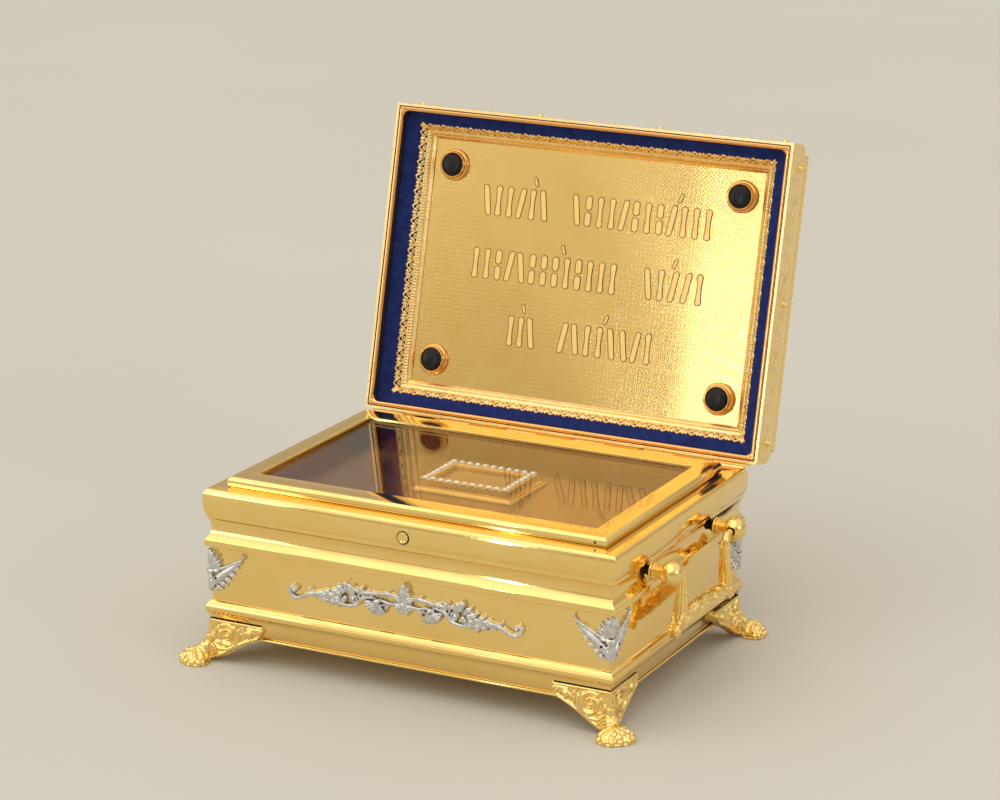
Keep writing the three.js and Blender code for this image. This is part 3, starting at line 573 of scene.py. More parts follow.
def plate_mat():
    """Stippled, chased gilt, darkened where a point attribute 'cut' is set; no mesh here carries it."""
    m, nt, b = new_mat("gold_plate")
    b.inputs["Metallic"].default_value = 1.0
    tc = nt.nodes.new("ShaderNodeTexCoord")
    # lid plane coordinates in millimetres: u across, v up the plate
    mp = nt.nodes.new("ShaderNodeMapping")
    mp.vector_type = "TEXTURE"
    mp.inputs["Rotation"].default_value = (PI / 2 - LEAN, 0, 0)
    mp.inputs["Scale"].default_value = (0.001, 0.001, 0.001)
    nt.links.new(tc.outputs["Object"], mp.inputs["Vector"])
    sep = nt.nodes.new("ShaderNodeSeparateXYZ")
    nt.links.new(mp.outputs["Vector"], sep.inputs["Vector"])

    def math_node(op, a, c=None):
        q = nt.nodes.new("ShaderNodeMath")
        q.operation = op
        for i, val in enumerate((a, c)):
            if val is None:
                continue
            if isinstance(val, (int, float)):
                q.inputs[i].default_value = val
            else:
                nt.links.new(val, q.inputs[i])
        return q.outputs[0]

    flat = nt.nodes.new("ShaderNodeCombineXYZ")
    nt.links.new(sep.outputs[0], flat.inputs[0])
    nt.links.new(sep.outputs[1], flat.inputs[1])
    # small scrolling diaper: rings and dots on a diagonal grid
    s1 = math_node("SINE", math_node("MULTIPLY", math_node("ADD", sep.outputs[0], sep.outputs[1]), TAU / 6.2))
    s2 = math_node("SINE", math_node("MULTIPLY", math_node("SUBTRACT", sep.outputs[0], sep.outputs[1]), TAU / 6.2))
    lattice = math_node("MULTIPLY", s1, s2)
    rings = math_node("SINE", math_node("MULTIPLY", lattice, 6.5))
    vor = nt.nodes.new("ShaderNodeTexVoronoi")
    vor.inputs["Scale"].default_value = 1.25
    nt.links.new(flat.outputs[0], vor.inputs["Vector"])
    stip = ramp(nt, vor.outputs["Distance"], 0.0, 0.55, 1.0, 0.0)
    n1 = noise(nt, 45, 4, 0.6)
    tone = ramp(nt, n1.outputs["Fac"], 0.35, 0.7, 0.0, 0.35)
    base = mix_colour(nt, tone, (0.94, 0.67, 0.24, 1), (0.86, 0.56, 0.16, 1))
    base = mix_colour(nt, ramp(nt, rings, -0.3, 0.7, 0.0, 0.55), base, (0.60, 0.36, 0.09, 1))
    cut = nt.nodes.new("ShaderNodeAttribute")
    cut.attribute_name = "cut"
    base = mix_colour(nt, cut.outputs["Fac"], base, (0.05, 0.022, 0.006, 1))
    nt.links.new(base, b.inputs["Base Color"])
    nt.links.new(ramp(nt, stip, 0, 1, 0.13, 0.20), b.inputs["Roughness"])
    b1 = bump(nt, rings, 0.05, 0.0003)
    b2 = bump(nt, stip, 0.03, 0.0003)
    nt.links.new(b1.outputs["Normal"], b2.inputs["Normal"])
    nt.links.new(b2.outputs["Normal"], b.inputs["Normal"])
    return m


M_PLATE = plate_mat()

M_WINDOW = gold("gold_window", 0.22, 0.06, 0.05, 80, colour=(0.34, 0.17, 0.05, 1), deep=(0.22, 0.10, 0.03, 1))
M_CAPSULE = gold("gold_capsule", 0.18, 0.06, 0.05, 120, colour=(0.72, 0.42, 0.12, 1), deep=(0.58, 0.30, 0.07, 1))
M_CUP = gold("gold_cup", 0.13, 0.05, 0.05, 120, colour=(0.80, 0.46, 0.15, 1), deep=(0.66, 0.34, 0.09, 1))
M_MARK = gold("gold_mark", 0.45, 0.1, 0.05, 200, colour=(0.24, 0.13, 0.035, 1), deep=(0.17, 0.085, 0.02, 1))
M_FILL = gold("gold_fill", 0.33, 0.06, 0.03, 120, colour=(0.86, 0.60, 0.22, 1), deep=(0.80, 0.52, 0.16, 1))
M_LIDWALL = gold("gold_lidwall", 0.26, 0.08, 0.04, 120, colour=GOLD_PALE, grain=0.1, grain_scale=1500)

# ------------------------------------------------------------------ body
# outer face of the body, [inset, height below the rim]; S marks corners
BODY = [
    (20, 0, 1), (0.9, 0, 1), (0.2, -0.12, 0), (-0.4, -0.5, 0), (-1.1, -1.4, 0), (-1.6, -3, 0), (-1.95, -5.2, 0),
    (-2.1, -8.6, 0), (-1.95, -12, 0), (-1.45, -15.2, 0), (-0.7, -17.45, 1), (0.05, -17.6, 1), (0.0, -18.2, 0),
    (0.05, -20.3, 1), (0.35, -20.6, 1), (0.75, -21.2, 0), (1.35, -22.7, 0), (1.9, -24.6, 0), (2.2, -26.8, 0), (2.1, -29, 0),
    (1.5, -31.2, 0), (0.5, -33.2, 0), (-0.5, -34.6, 0), (-1.15, -35.3, 0), (-1.35, -35.8, 1), (-1.4, -36.6, 0), (-1.4, -39.2, 0),
    (-1.25, -39.9, 0), (-0.8, -40.2, 1), (2.3, -41.2, 1), (2.3, -78.6, 1), (1.9, -78.75, 0), (1.2, -79.2, 0), (0.3, -80.1, 0),
    (-0.4, -81.2, 0), (-0.85, -82.4, 1), (-1.3, -82.7, 0), (-1.4, -83.2, 0), (-1.4, -85.2, 0), (-1.1, -85.9, 1), (-0.3, -87, 0),
    (0.5, -88.6, 0), (1.1, -90.6, 0), (1.75, -93.4, 0), (2.7, -96.6, 0), (3.7, -99.2, 0), (4.6, -100.9, 0), (4.7, -101.2, 1),
]
INNER = [
    (6.9, -101.2), (5.2, -97.2), (3.9, -92.4), (2.9, -88.6), (0.9, -86), (0.8, -84), (1.4, -82.4), (3.4, -80.6), (4.4, -79.2),
    (4.4, -39.6), (1, -38.4), (0.8, -36.8), (2.2, -34.6), (3.6, -31.6), (4.3, -28.4), (4.2, -25.2), (3.4, -22.2), (2.2, -20.4),
    (1.9, -17.2), (0.5, -13), (0.1, -9), (0.5, -4.6), (1.6, -2), (20, -2),
]
outer = curve([(a, b) for a, b, _ in BODY], 0.45, [i for i, q in enumerate(BODY) if q[2]])
make("body_sheet", moulding(outer + INNER, RIM_X, RIM_Y, rc=0.45), M_POLISH, "casket", ["casket_body"], sharp=24)
make(
    "base_lip",
    moulding([(4.6, -101.5), (4.2, -101.55), (3.95, -101.9), (3.9, -102.5), (4.0, -103.05), (4.5, -103.4)], RIM_X, RIM_Y, rc=1.2, close=False, caps=True),
    M_POLISH, "casket", ["base_plate"], sharp=40,
)

# glazed frame
FX, FY, FCY = 139.6, 95.45, -2.45


def frame_inset_y(e):
    return 5.3 + (e - 5.3) * ((17.2 - 5.3) / (14.5 - 5.3)) if e > 5.3 else e


fr = curve(
    [(0, 1.1), (0, 4.6), (0.15, 5.1), (0.6, 5.6), (1.4, 6.5), (1.7, 6.75), (2.0, 6.8), (14.1, 6.8), (14.4, 6.7), (14.5, 6.4), (14.5, 5.0), (10.5, 5.0), (10.5, 1.2), (5.2, 1.2), (5.2, 0.3), (1.4, 0.3), (1.4, 1.1)],
    0.2,
    [0, 1, 6, 7, 9, 10, 11, 12, 13, 14, 15, 16],
)
make("glazing_frame", moulding(fr, FX, FY, rc=0.35, inset_y=frame_inset_y, cy=FCY), M_POLISH, "casket", ["glass_frame"], sharp=30)
g = Geo()
g.extend(turned([[0, 0.5], [0.5, 0.45], [0.8, 0.2], [0.9, 0]], 14), place((0, -1, 0), (131.5, FCY - FY, 3.1)))
make("frame_screw", g, M_DARK_AND_SHADE, "casket")

NODES["glass_pane"].data.materials.clear()
NODES["glass_pane"].data.materials.append(M_GLASS)
NODES["relic_tray"].data.materials.clear()
NODES["relic_tray"].data.materials.append(M_TRAY)

# ======== fittings ========
# ------------------------------------------------------- corner wrapping
def corner_wrap(cx, cy, r0, lean=None):
    """(s, z, h) -> 3-D round the front right corner; s runs front to side."""
    arc = PI * r0 / 2

    def fn(s, z, h):
        s, z, h = (np.asarray(q, float) for q in (s, z, h))
        th = np.clip(s / arc, -0.5, 0.5) * PI / 2 - PI / 4
        run = np.where(s < -arc / 2, s + arc / 2, np.where(s > arc / 2, s - arc / 2, 0))
        x = cx - r0 + (r0 + h) * np.cos(th) + np.where(run < 0, run, 0)
        y = -(cy - r0) + (r0 + h) * np.sin(th) + np.where(run > 0, run, 0)
        if lean is not None:
            out = lean(z)
            x, y = x + out * np.cos(th), y + out * np.sin(th)
        return np.stack([x, y, z], -1).reshape(-1, 3)

    return fn


CORNER_SIGNS = {"front_right": (1, 1), "front_left": (-1, 1), "back_right": (1, -1), "back_left": (-1, -1)}


def at_corners(prefix, geo, mat, sharp, out=None):
    for corner, (sx, sy) in CORNER_SIGNS.items():
        g = Geo()
        g.extend(geo, lambda v: v * np.array([sx, sy, 1.0]), flip=sx * sy < 0)
        make((out or prefix) + "_" + corner + "_form", g, mat, "casket", [prefix + "_" + corner], sharp=sharp)


def fuse(geo, voxel, smooth=2, factor=0.5):
    """One closed skin over overlapping closed shapes."""
    me = bpy.data.meshes.new("fuse_work")
    me.from_pydata((geo.verts() * 0.001).tolist(), [], geo.f)
    ob = bpy.data.objects.new("fuse_work", me)
    bpy.context.scene.collection.objects.link(ob)
    m = ob.modifiers.new("r", "REMESH")
    m.mode, m.voxel_size, m.adaptivity = "VOXEL", voxel * 0.001, 0.0
    if smooth:
        q = ob.modifiers.new("s", "SMOOTH")
        q.factor, q.iterations = factor, smooth
    dg = bpy.context.evaluated_depsgraph_get()
    ev = ob.evaluated_get(dg)
    out = ev.to_mesh()
    n = len(out.vertices)
    co = np.empty(n * 3, np.float64)
    out.vertices.foreach_get("co", co)
    faces = [list(p.vertices) for p in out.polygons]
    g = Geo()
    g.add(co.reshape(-1, 3) * 1000.0, faces)
    ev.to_mesh_clear()
    bpy.data.objects.remove(ob, do_unlink=True)
    bpy.data.meshes.remove(me)
    return g


def wavy(points, radii, amp, count, n=60):
    p = spline3([(*q, 0) if len(q) == 2 else q for q in points], n)[:, :2]
    r = np.interp(np.linspace(0, 1, n), np.linspace(0, 1, len(radii)), radii)
    return p, r * (1 + amp * np.sin(np.linspace(0, count * TAU, n)))


# ---------------------------------------------------- silver front garland
def garland():
    R = Relief(-90, 90, -69, -41, 0.34)
    for s in (-1, 1):

        def S(pts, rad, base=1.7, lift=0.95, groove=0.55, n=48):
            p = spline3([(s * a, b, 0) for a, b in pts], n)[:, :2]
            r = np.interp(np.linspace(0, 1, n), np.linspace(0, 1, len(rad)), rad)
            R.stroke(p, r, base, lift, groove)

        def L(x, y, length, width, deg, **k):
            ang = math.radians(deg)
            R.leaf(s * x, y, length, width, ang if s > 0 else PI - ang, curl=s * k.pop("curl", 0), **k)

        # upper arch, from the middle leaf out to the peak
        S([(3, -54), (9, -52.2), (18, -52.8), (27, -54), (35, -53.4), (42, -51)], [1.4, 1.5, 1.5, 1.3, 1.5, 1.2])
        # lower arch, looping back to the shell
        S([(4, -58), (11, -58.6), (17, -57.2), (22, -58.2), (19, -60.4), (14, -60)], [1.3, 1.3, 1.1, 1.0, 0.9, 0.7])
        S([(22, -56), (29, -57.2), (33, -60.5), (35, -63), (41, -64.6), (50, -64.2)], [0.9, 1.2, 1.3, 1.4, 1.3, 0.9])
        # long outer stem with its curled tip
        S([(48, -57), (56, -60.4), (64, -60.2), (71, -61.6), (77, -64.6), (81.4, -65.6), (85, -63.4), (85.6, -60.2), (83.6, -58.4), (81.6, -59.6)], [1.4, 1.9, 1.9, 1.7, 1.6, 1.6, 1.5, 1.4, 1.3, 1.2], n=70)
        R.dot(s * 82.4, -60.6, 1.6, 1.8, 1.1)
        S([(44, -62), (52, -64), (60, -62.6), (66, -60.8)], [1.0, 1.2, 1.1, 0.8])
        # scroll loops between the shell and the peak
        R.stroke(np.array([(s * a, b) for a, b in spiral(31.5, -56.8, 3.0, 1.0, PI, -1.2)]), np.linspace(1.0, 0.7, 40), 1.8, 1.0, 0.3)
        R.stroke(np.array([(s * a, b) for a, b in spiral(37.5, -59.6, 3.2, 1.1, 0.4, 1.2)]), np.linspace(1.0, 0.75, 40), 1.8, 1.0, 0.3)
        R.dot(s * 37.5, -59.6, 1.2, 2.0, 1.1)
        # shell fan
        R.fan(s * 19.5, -58.6, 9.2, -PI / 2 + s * 0.42, 1.18, 8, base=1.9, lift=1.5)
        R.dot(s * 19.6, -58.6, 2.2, 2.6, 0.7)
        # leaves round the peak
        L(37.5, -57, 9.6, 2.9, 62, lobes=2, depth=0.2, base=1.9)
        L(41.5, -55.4, 8.2, 2.6, 76, lobes=2, depth=0.2, base=2.2)
        L(44, -56.6, 8.4, 2.7, 42, lobes=2, depth=0.2, base=2.0)
        L(46, -58.6, 9.2, 2.8, 22, lobes=2, depth=0.2, base=1.9)
        L(47, -60.4, 8.2, 2.4, -4, lobes=2, depth=0.2, base=1.8)
        L(43, -58, 6.4, 2.3, -60, lobes=2, base=1.8)
        L(34, -54.8, 6.2, 2.0, 128, lobes=2, base=1.8)
        # outer bundle
        L(53, -60.6, 8.4, 2.6, 34, lobes=2, depth=0.2, base=2.0)
        L(56, -60.6, 9.4, 2.6, 12, lobes=2, depth=0.2, base=1.9)
        L(55, -61.4, 7.6, 2.4, -28, lobes=2, depth=0.2, base=1.8)
        L(53, -61.8, 6.2, 2.2, -72, lobes=2, base=1.8)
        L(50, -61.6, 6.0, 2.1, -112, lobes=2, base=1.7)
        L(68, -60.6, 5.6, 1.5, 30, lobes=2, base=1.6, lift=1.1)
        # small leaves along the arches
        L(9, -52.6, 5.2, 1.6, 30, lobes=2, base=1.6, lift=1.1)
        L(23, -53.6, 6.2, 1.7, 14, lobes=2, base=1.6, lift=1.1)
        L(28, -57.4, 5.8, 1.7, -18, lobes=2, base=1.6, lift=1.1)
        L(12, -59.6, 4.4, 1.5, -64, lobes=2, base=1.6, lift=1.1)
        L(63, -61.4, 6.2, 1.7, -22, lobes=2, base=1.6, lift=1.1)
        # side lobes of the middle leaf
        R.leaf(0, -56.5, 8.6, 3.3, PI / 2 - s * 0.95, lobes=2, depth=0.2, base=2.3, lift=1.5)
        R.leaf(0, -58, 7.6, 2.9, PI / 2 - s * 1.85, lobes=2, depth=0.2, base=2.2, lift=1.4)
        R.leaf(0, -58.5, 7.0, 2.3, -PI / 2 + s * 0.5, lobes=2, base=2.1, lift=1.2)
    R.leaf(0, -58, 15.4, 4.9, PI / 2, lobes=4, base=2.6, lift=1.6)
    R.dot(0, -57.6, 1.8, 3.6, 0.5)
    R.h = np.where(R.h > 0.2, R.h + 0.9, R.h)
    face = RIM_Y - 2.3
    g = R.geo(lambda a, b, h: np.stack([a, -(face + h), b], 1), sink=-0.3)
    make("garland_relief", g, M_SILVER, "casket", ["front_garland"], sharp=52)


garland()


# ------------------------------------------------ silver corner mounts
def corner_mounts():
    R = Relief(-31, 31, -73.4, -40.4, 0.30)
    for s in (-1, 1):
        P = lambda pts, n=40: spline3([(s * a, b, 0) for a, b in pts], n)[:, :2]

        def S(pts, rad, base, lift, groove=0.0, n=40):
            R.stroke(P(pts, n), np.interp(np.linspace(0, 1, n), np.linspace(0, 1, len(rad)), rad), base, lift, groove)

        # one long leaf sweeping up to a curled tip
        S([(1, -67), (5, -63), (10, -58.6), (15, -55), (20, -50.8), (24.6, -45.6)], [2.4, 3.4, 3.0, 2.5, 1.9, 0.9], 0.7, 1.0)
        S([(1.5, -57.5), (7, -55.4), (13, -52.6), (19, -49.6), (23.4, -47.2), (25.2, -45.0), (24.2, -43.4)], [0.8, 1.0, 1.0, 1.0, 1.1, 1.0, 0.7], 1.8, 0.9)
        S([(3, -65), (8, -60), (14, -55.6), (20, -50.6), (23.4, -47)], [0.6, 0.6, 0.55, 0.5, 0.3], 2.0, 0.6)
        S([(4, -61.4), (9, -57.6), (15, -53.8), (20, -50)], [0.5, 0.5, 0.45, 0.3], 2.0, 0.55)
        # serrated lower edge
        for i, (x, y, ln, w, deg) in enumerate([(2.4, -66.0, 7.6, 2.0, -48), (4.6, -63.4, 8.6, 2.1, -36), (7.4, -60.4, 9.2, 2.1, -26), (10.8, -57.2, 8.8, 1.9, -16), (14.4, -54.2, 7.8, 1.7, -4), (17.8, -51.4, 6.6, 1.4, 10)]):
            ang = math.radians(deg)
            R.leaf(s * x, y, ln, w, ang if s > 0 else PI - ang, lobes=2, base=1.2, lift=1.3, depth=0.2, curl=s * 0.2)
        R.leaf(s * 2.4, -66, 6.2, 1.7, -PI / 2 + s * 0.42, lobes=2, base=1.5, lift=1.1)
        # palmette ribs, standing clear of the wings
        for k in range(4):
            ang = PI / 2 - s * (0.15 + 0.33 * k)
            R.leaf(s * 0.4, -55.6, 13.4 - 1.5 * k, 1.55, ang, lobes=1, base=2.0 - 0.1 * k, lift=1.2, depth=0.05, vein=0.2)
        S([(0.6, -57), (4.8, -57.4), (6.6, -55), (5.2, -53.2)], [0.9, 1.0, 0.9, 0.6], 2.1, 0.9)
    R.leaf(0, -55.6, 14.2, 1.6, PI / 2, lobes=1, base=2.2, lift=1.2, depth=0.05)
    R.leaf(0, -60.5, 12.0, 2.4, -PI / 2, lobes=3, base=2.0, lift=1.2)
    R.dot(0, -58.4, 2.2, 2.2, 0.8)
    for s in (-1, 1):
        for x, y, r in ((4.9, -61.6, 0.85), (3.9, -68.0, 0.7), (8.2, -52.2, 1.0)):
            R.h = np.where((R.A - s * x) ** 2 + (R.B - y) ** 2 < r * r, -9.0, R.h)
    g = R.geo(corner_wrap(RIM_X - 2.3, RIM_Y - 2.3, 1.0), sink=-0.3)
    at_corners("corner_mount", g, M_SILVER, 52)


corner_mounts()


# ------------------------------------------------------------------ feet
WING_EDGE = [(0, -119.4), (6, -118.4), (11.5, -115.2), (18.5, -110.8), (26.5, -106.2), (33, -103.4), (36.4, -101.8), (39.3, -98.6), (40.8, -95.2), (40.6, -92.6)]


def wing_low(a):
    e = np.array(WING_EDGE)
    return np.interp(np.abs(a), e[:, 0], e[:, 1], right=0)


def foot_lean(z):
    return 2.6 * np.clip((-92.6 - z) / 27, 0, 1.2)


def feet():
    R = Relief(-41.4, 41.4, -120, -92.0, 0.40)
    for s in (-1, 1):
        P = lambda pts, n=44: spline3([(s * a, b, 0) for a, b in pts], n)[:, :2]

        def S(pts, rad, lift=0.75, base=0.15, groove=0.0, n=44):
            R.stroke(P(pts, n), np.interp(np.linspace(0, 1, n), np.linspace(0, 1, len(rad)), rad), base, lift, groove)

        # the great scroll and its eye
        R.stroke(np.array([(s * a, b) for a, b in spiral(13.2, -102.2, 8.2, 1.9, 2.2, -1.75, 90)]), np.linspace(1.25, 0.8, 90), 0.1, 0.9)
        R.stroke(np.array([(s * a, b) for a, b in spiral(13.2, -102.2, 6.7, 2.9, 2.2, -1.2, 70)]), np.linspace(0.55, 0.4, 70), 0.1, 0.8)
        R.dot(s * 13.2, -102.2, 1.6, 0.4, 0.8)
        S([(19, -95.4), (22.4, -100), (21, -106), (15, -110.6), (8.6, -112.4), (4.2, -115.4)], [0.9, 1.1, 1.2, 1.0, 0.8, 0.5])
        S([(22, -96.4), (25, -100.4), (24, -104.6), (19.4, -108.4)], [0.7, 0.8, 0.7, 0.4])
        # lower C below the scroll
        S([(3.6, -108.4), (7.4, -111.6), (11.6, -110.8), (12.4, -108.2)], [0.8, 1.0, 0.8, 0.5])
        S([(3.0, -104), (4.6, -106.8), (8.2, -107.6)], [0.7, 0.8, 0.5])
        # leaf flutes falling from the top edge
        for x0, x1, y1, w in ((2.4, 5.4, -98.6, 0.9), (5.6, 7.4, -96.0, 0.9), (9.0, 9.8, -94.9, 0.8), (12.8, 12.0, -94.8, 0.8), (16.2, 15.4, -95.6, 0.9), (19.4, 20.6, -98.4, 1.0), (22.6, 23.8, -99.4, 1.0), (25.6, 26.0, -98.6, 0.9)):
            S([(x0, -92.6), ((x0 + x1) / 2 + 0.5, (-92.6 + y1) / 2), (x1, y1)], [w, w * 0.9, w * 0.4], lift=0.9, n=16)
        # veined leaves between the scroll, the corner and the top edge
        for x0, y0, ln, wd, deg in ((3.0, -93.6, 9.5, 1.5, -78), (5.0, -96.2, 8.0, 1.3, -60), (2.6, -100.4, 7.0, 1.3, -74), (24.6, -94.6, 9.0, 1.6, -64), (28.0, -95.2, 8.4, 1.5, -60), (21.6, -101.4, 7.6, 1.4, -100), (17.4, -106.6, 6.6, 1.3, -140), (8.6, -113.4, 6.0, 1.2, -120), (5.6, -109.6, 5.6, 1.2, -110)):
            ang = math.radians(deg)
            R.leaf(s * x0, y0, ln, wd, ang if s > 0 else PI - ang, lobes=2, base=0.1, lift=0.85, depth=0.15, vein=0.3)
        # acanthus tip of the wing
        for i, deg in enumerate((-122, -104, -86, -68, -48)):
            x, y = 31.4 + 1.5 * i, -93.2
            ang = math.radians(deg)
            R.leaf(s * x, y, 8.6 - 0.9 * i, 1.55, ang if s > 0 else PI - ang, lobes=2, base=0.2, lift=0.95, depth=0.2, vein=0.3)
        S([(29.4, -92.8), (28.6, -97), (30.6, -101), (33.4, -102.6)], [0.7, 0.9, 0.8, 0.5])
        S([(38.8, -93.4), (40.2, -95.4), (38.8, -98.6), (36, -101.4)], [0.7, 0.8, 0.8, 0.7])
        # plain bevelled strip along the lower edge
        low = [(q, w + 1.3) for q, w in WING_EDGE[1:7]]
        S(low, [1.3, 1.4, 1.5, 1.5, 1.4, 1.1], lift=0.55, base=0.0)
    # rib down the corner, broken like fur near the ankle
    z = np.linspace(-93.2, -119, 80)
    R.stroke(np.stack([0 * z, z], 1), np.interp(z, [-119, -106, -93.2], [1.5, 0.9, 0.8]), 0.3, 0.7, 0.0)
    x = np.linspace(-40.4, 40.4, 120)
    R.stroke(np.stack([x, -92.7 + 0 * x], 1), 0.75, 0.25, 0.55)
    for k in range(4):
        for s in (-1, 1):
            R.leaf(s * 0.6, -108.5 - 2.6 * k, 4.6, 1.5, -PI / 2 + s * 0.62, lobes=1, base=0.5, lift=0.9, depth=0.1, vein=0.2)
    for s in (-1, 1):
        # screw head near the tip
        R.dot(s * 30.5, -98.0, 2.7, 0.9, 0.28)
    low = wing_low(R.A)
    inside = (R.B > low) & (np.abs(R.A) < 40.8)
    body = np.where(R.h > 0.0, 1.4 * R.h, 0.0)
    R.h = np.where(inside, body, -9.0)
    wrap = corner_wrap(148.8, 106.8, 1.6, foot_lean)
    g = Geo()
    g.extend(R.geo(wrap, sink=-3.4))
    B = Relief(-41.4, 41.4, -120, -92.0, 1.2)
    B.h = np.where((B.B > wing_low(B.A)) & (np.abs(B.A) < 40.8), -3.9, -9.0)
    keep = B.h > -5
    B.h = np.where(keep, 0.0, -9.0)
    back = corner_wrap(148.8, 106.8, 4.4, foot_lean)
    g.extend(B.geo(lambda a, b, h: back(a, b, 0 * h - 3.9), sink=0.0), flip=True)

    # ankle and paw, gathered as overlapping lumps and skinned over
    d = np.array([1.0, -1.0, 0]) / math.sqrt(2)
    w = np.array([1.0, 1.0, 0]) / math.sqrt(2)
    c0 = np.array([148.8, -106.8, 0.0])

    def q(out, side, z):
        return c0 + d * out + w * side + np.array([0, 0, z])

    P = Geo()

    def lump(out, side, z, r, sc=(1, 1, 1)):
        b = ball((0, 0, 0), r, 18, 12)
        m = np.stack([d, w, np.array([0, 0, 1.0])], 1)
        P.extend(b, lambda v: (v * np.array(sc)) @ m.T + q(out, side, z))

    P.extend(tube(np.array([q(0.2, 0, -103), q(0.6, 0, -108), q(2.0, 0, -112), q(5.2, 0, -115), q(9.6, 0, -117)]), [3.2, 3.7, 4.4, 5.6, 6.0], 20))
    # a low rounded paw on a thin lip
    c1 = 10.6
    lump(c1, 0, -121.2, 1.0, (9.6, 12.4, 9.0))
    lump(c1, 0, -120.9, 1.0, (10.6, 13.2, 1.3))

    def on(A, E, grow=1.0):
        return q(c1 + 9.6 * grow * math.cos(E) * math.cos(A), 12.4 * grow * math.cos(E) * math.sin(A), -121.2 + 9.0 * grow * math.sin(E))

    # toes round the front, tufts of fur above and behind
    for row, (E, count, r, span) in enumerate(((0.20, 7, 2.0, 1.5), (0.20, 9, 1.3, 3.0), (0.55, 11, 1.35, 3.1), (0.90, 9, 1.3, 3.1), (1.22, 7, 1.2, 3.1))):
        for k in range(count):
            A = -span + 2 * span * (k + 0.5 * (row % 2)) / (count - 1)
            if row == 1 and abs(A) < 1.6:
                continue
            w_ = 1 + 0.12 * math.sin(3.7 * k + row)
            P.extend(tube(np.array([on(A, E + 0.26, 0.97), on(A + 0.02, E + 0.04, 1.0), on(A, max(E - 0.22, 0.02), 0.99)]), [0.55 * r * w_, r * w_, 0.65 * r * w_], 10))
    for k in range(7):
        A = -1.5 + 3.0 * k / 6
        P.extend(ball(on(A, 0.06, 1.07), 0.9, 8, 6))
    # fur running up the instep
    for k in range(16):
        A = -1.5 + 3.0 * (k % 8) / 7
        up = k // 8
        rr = 4.6 - 0.5 * up
        base_ = np.array([5.4 - 2.4 * up, 0, -113.6 + 3.6 * up])
        o, sd = base_[0] + rr * math.cos(A) * 0.9, rr * math.sin(A)
        P.extend(tube(np.array([q(o - 0.8, sd * 0.85, base_[2] + 2.2), q(o + 0.3, sd, base_[2]), q(o + 1.2, sd * 1.1, base_[2] - 2.2)]), [0.5, 1.2, 0.6], 8))
    paw = fuse(P, 0.50, 1, 0.4)
    v = paw.verts()
    v[:, 2] = np.maximum(v[:, 2], -121.48)
    paw.v = [v]
    g.extend(paw)
    at_corners("foot", g, M_CAST, 60)
    # shadow line under the body's edge
    D = Relief(-40.4, 40.4, -92.1, -91.4, 0.35)
    D.h = 0.0 * D.h
    shade = Geo()
    shade.extend(D.geo(corner_wrap(149.3, 107.3, 1.6), sink=-1.0))
    for corner, (sx, sy) in CORNER_SIGNS.items():
        gg = Geo()
        gg.extend(shade, lambda v: v * np.array([sx, sy, 1.0]), flip=sx * sy < 0)
        make("foot_shadow_" + corner, gg, M_DARK_AND_SHADE, "casket", sharp=60)


feet()


# ------------------------------------------------------------ lock plate
g = Geo()
g.extend(turned([[0, 0.55], [1.3, 0.62], [2.4, 0.85], [3.2, 1.15], [3.6, 1.2], [3.85, 1.0], [3.95, 0.6], [3.95, 0.0]], 44), place((0, -1, 0), (0, -109.75, -10.9)))
make("lock_disc", g, M_POLISH, "casket", ["lock_plate"], sharp=60)
# painted shade: a dark ring round the lock disc stands for the shade in its groove
g = Geo()
g.extend(turned([[3.9, 0.55], [4.25, 0.8], [4.6, 0.55], [4.7, 0.1]], 44), place((0, -1, 0), (0, -109.75, -10.9)))
make("lock_groove_shade", g, M_DARK_AND_SHADE, "casket", sharp=60)


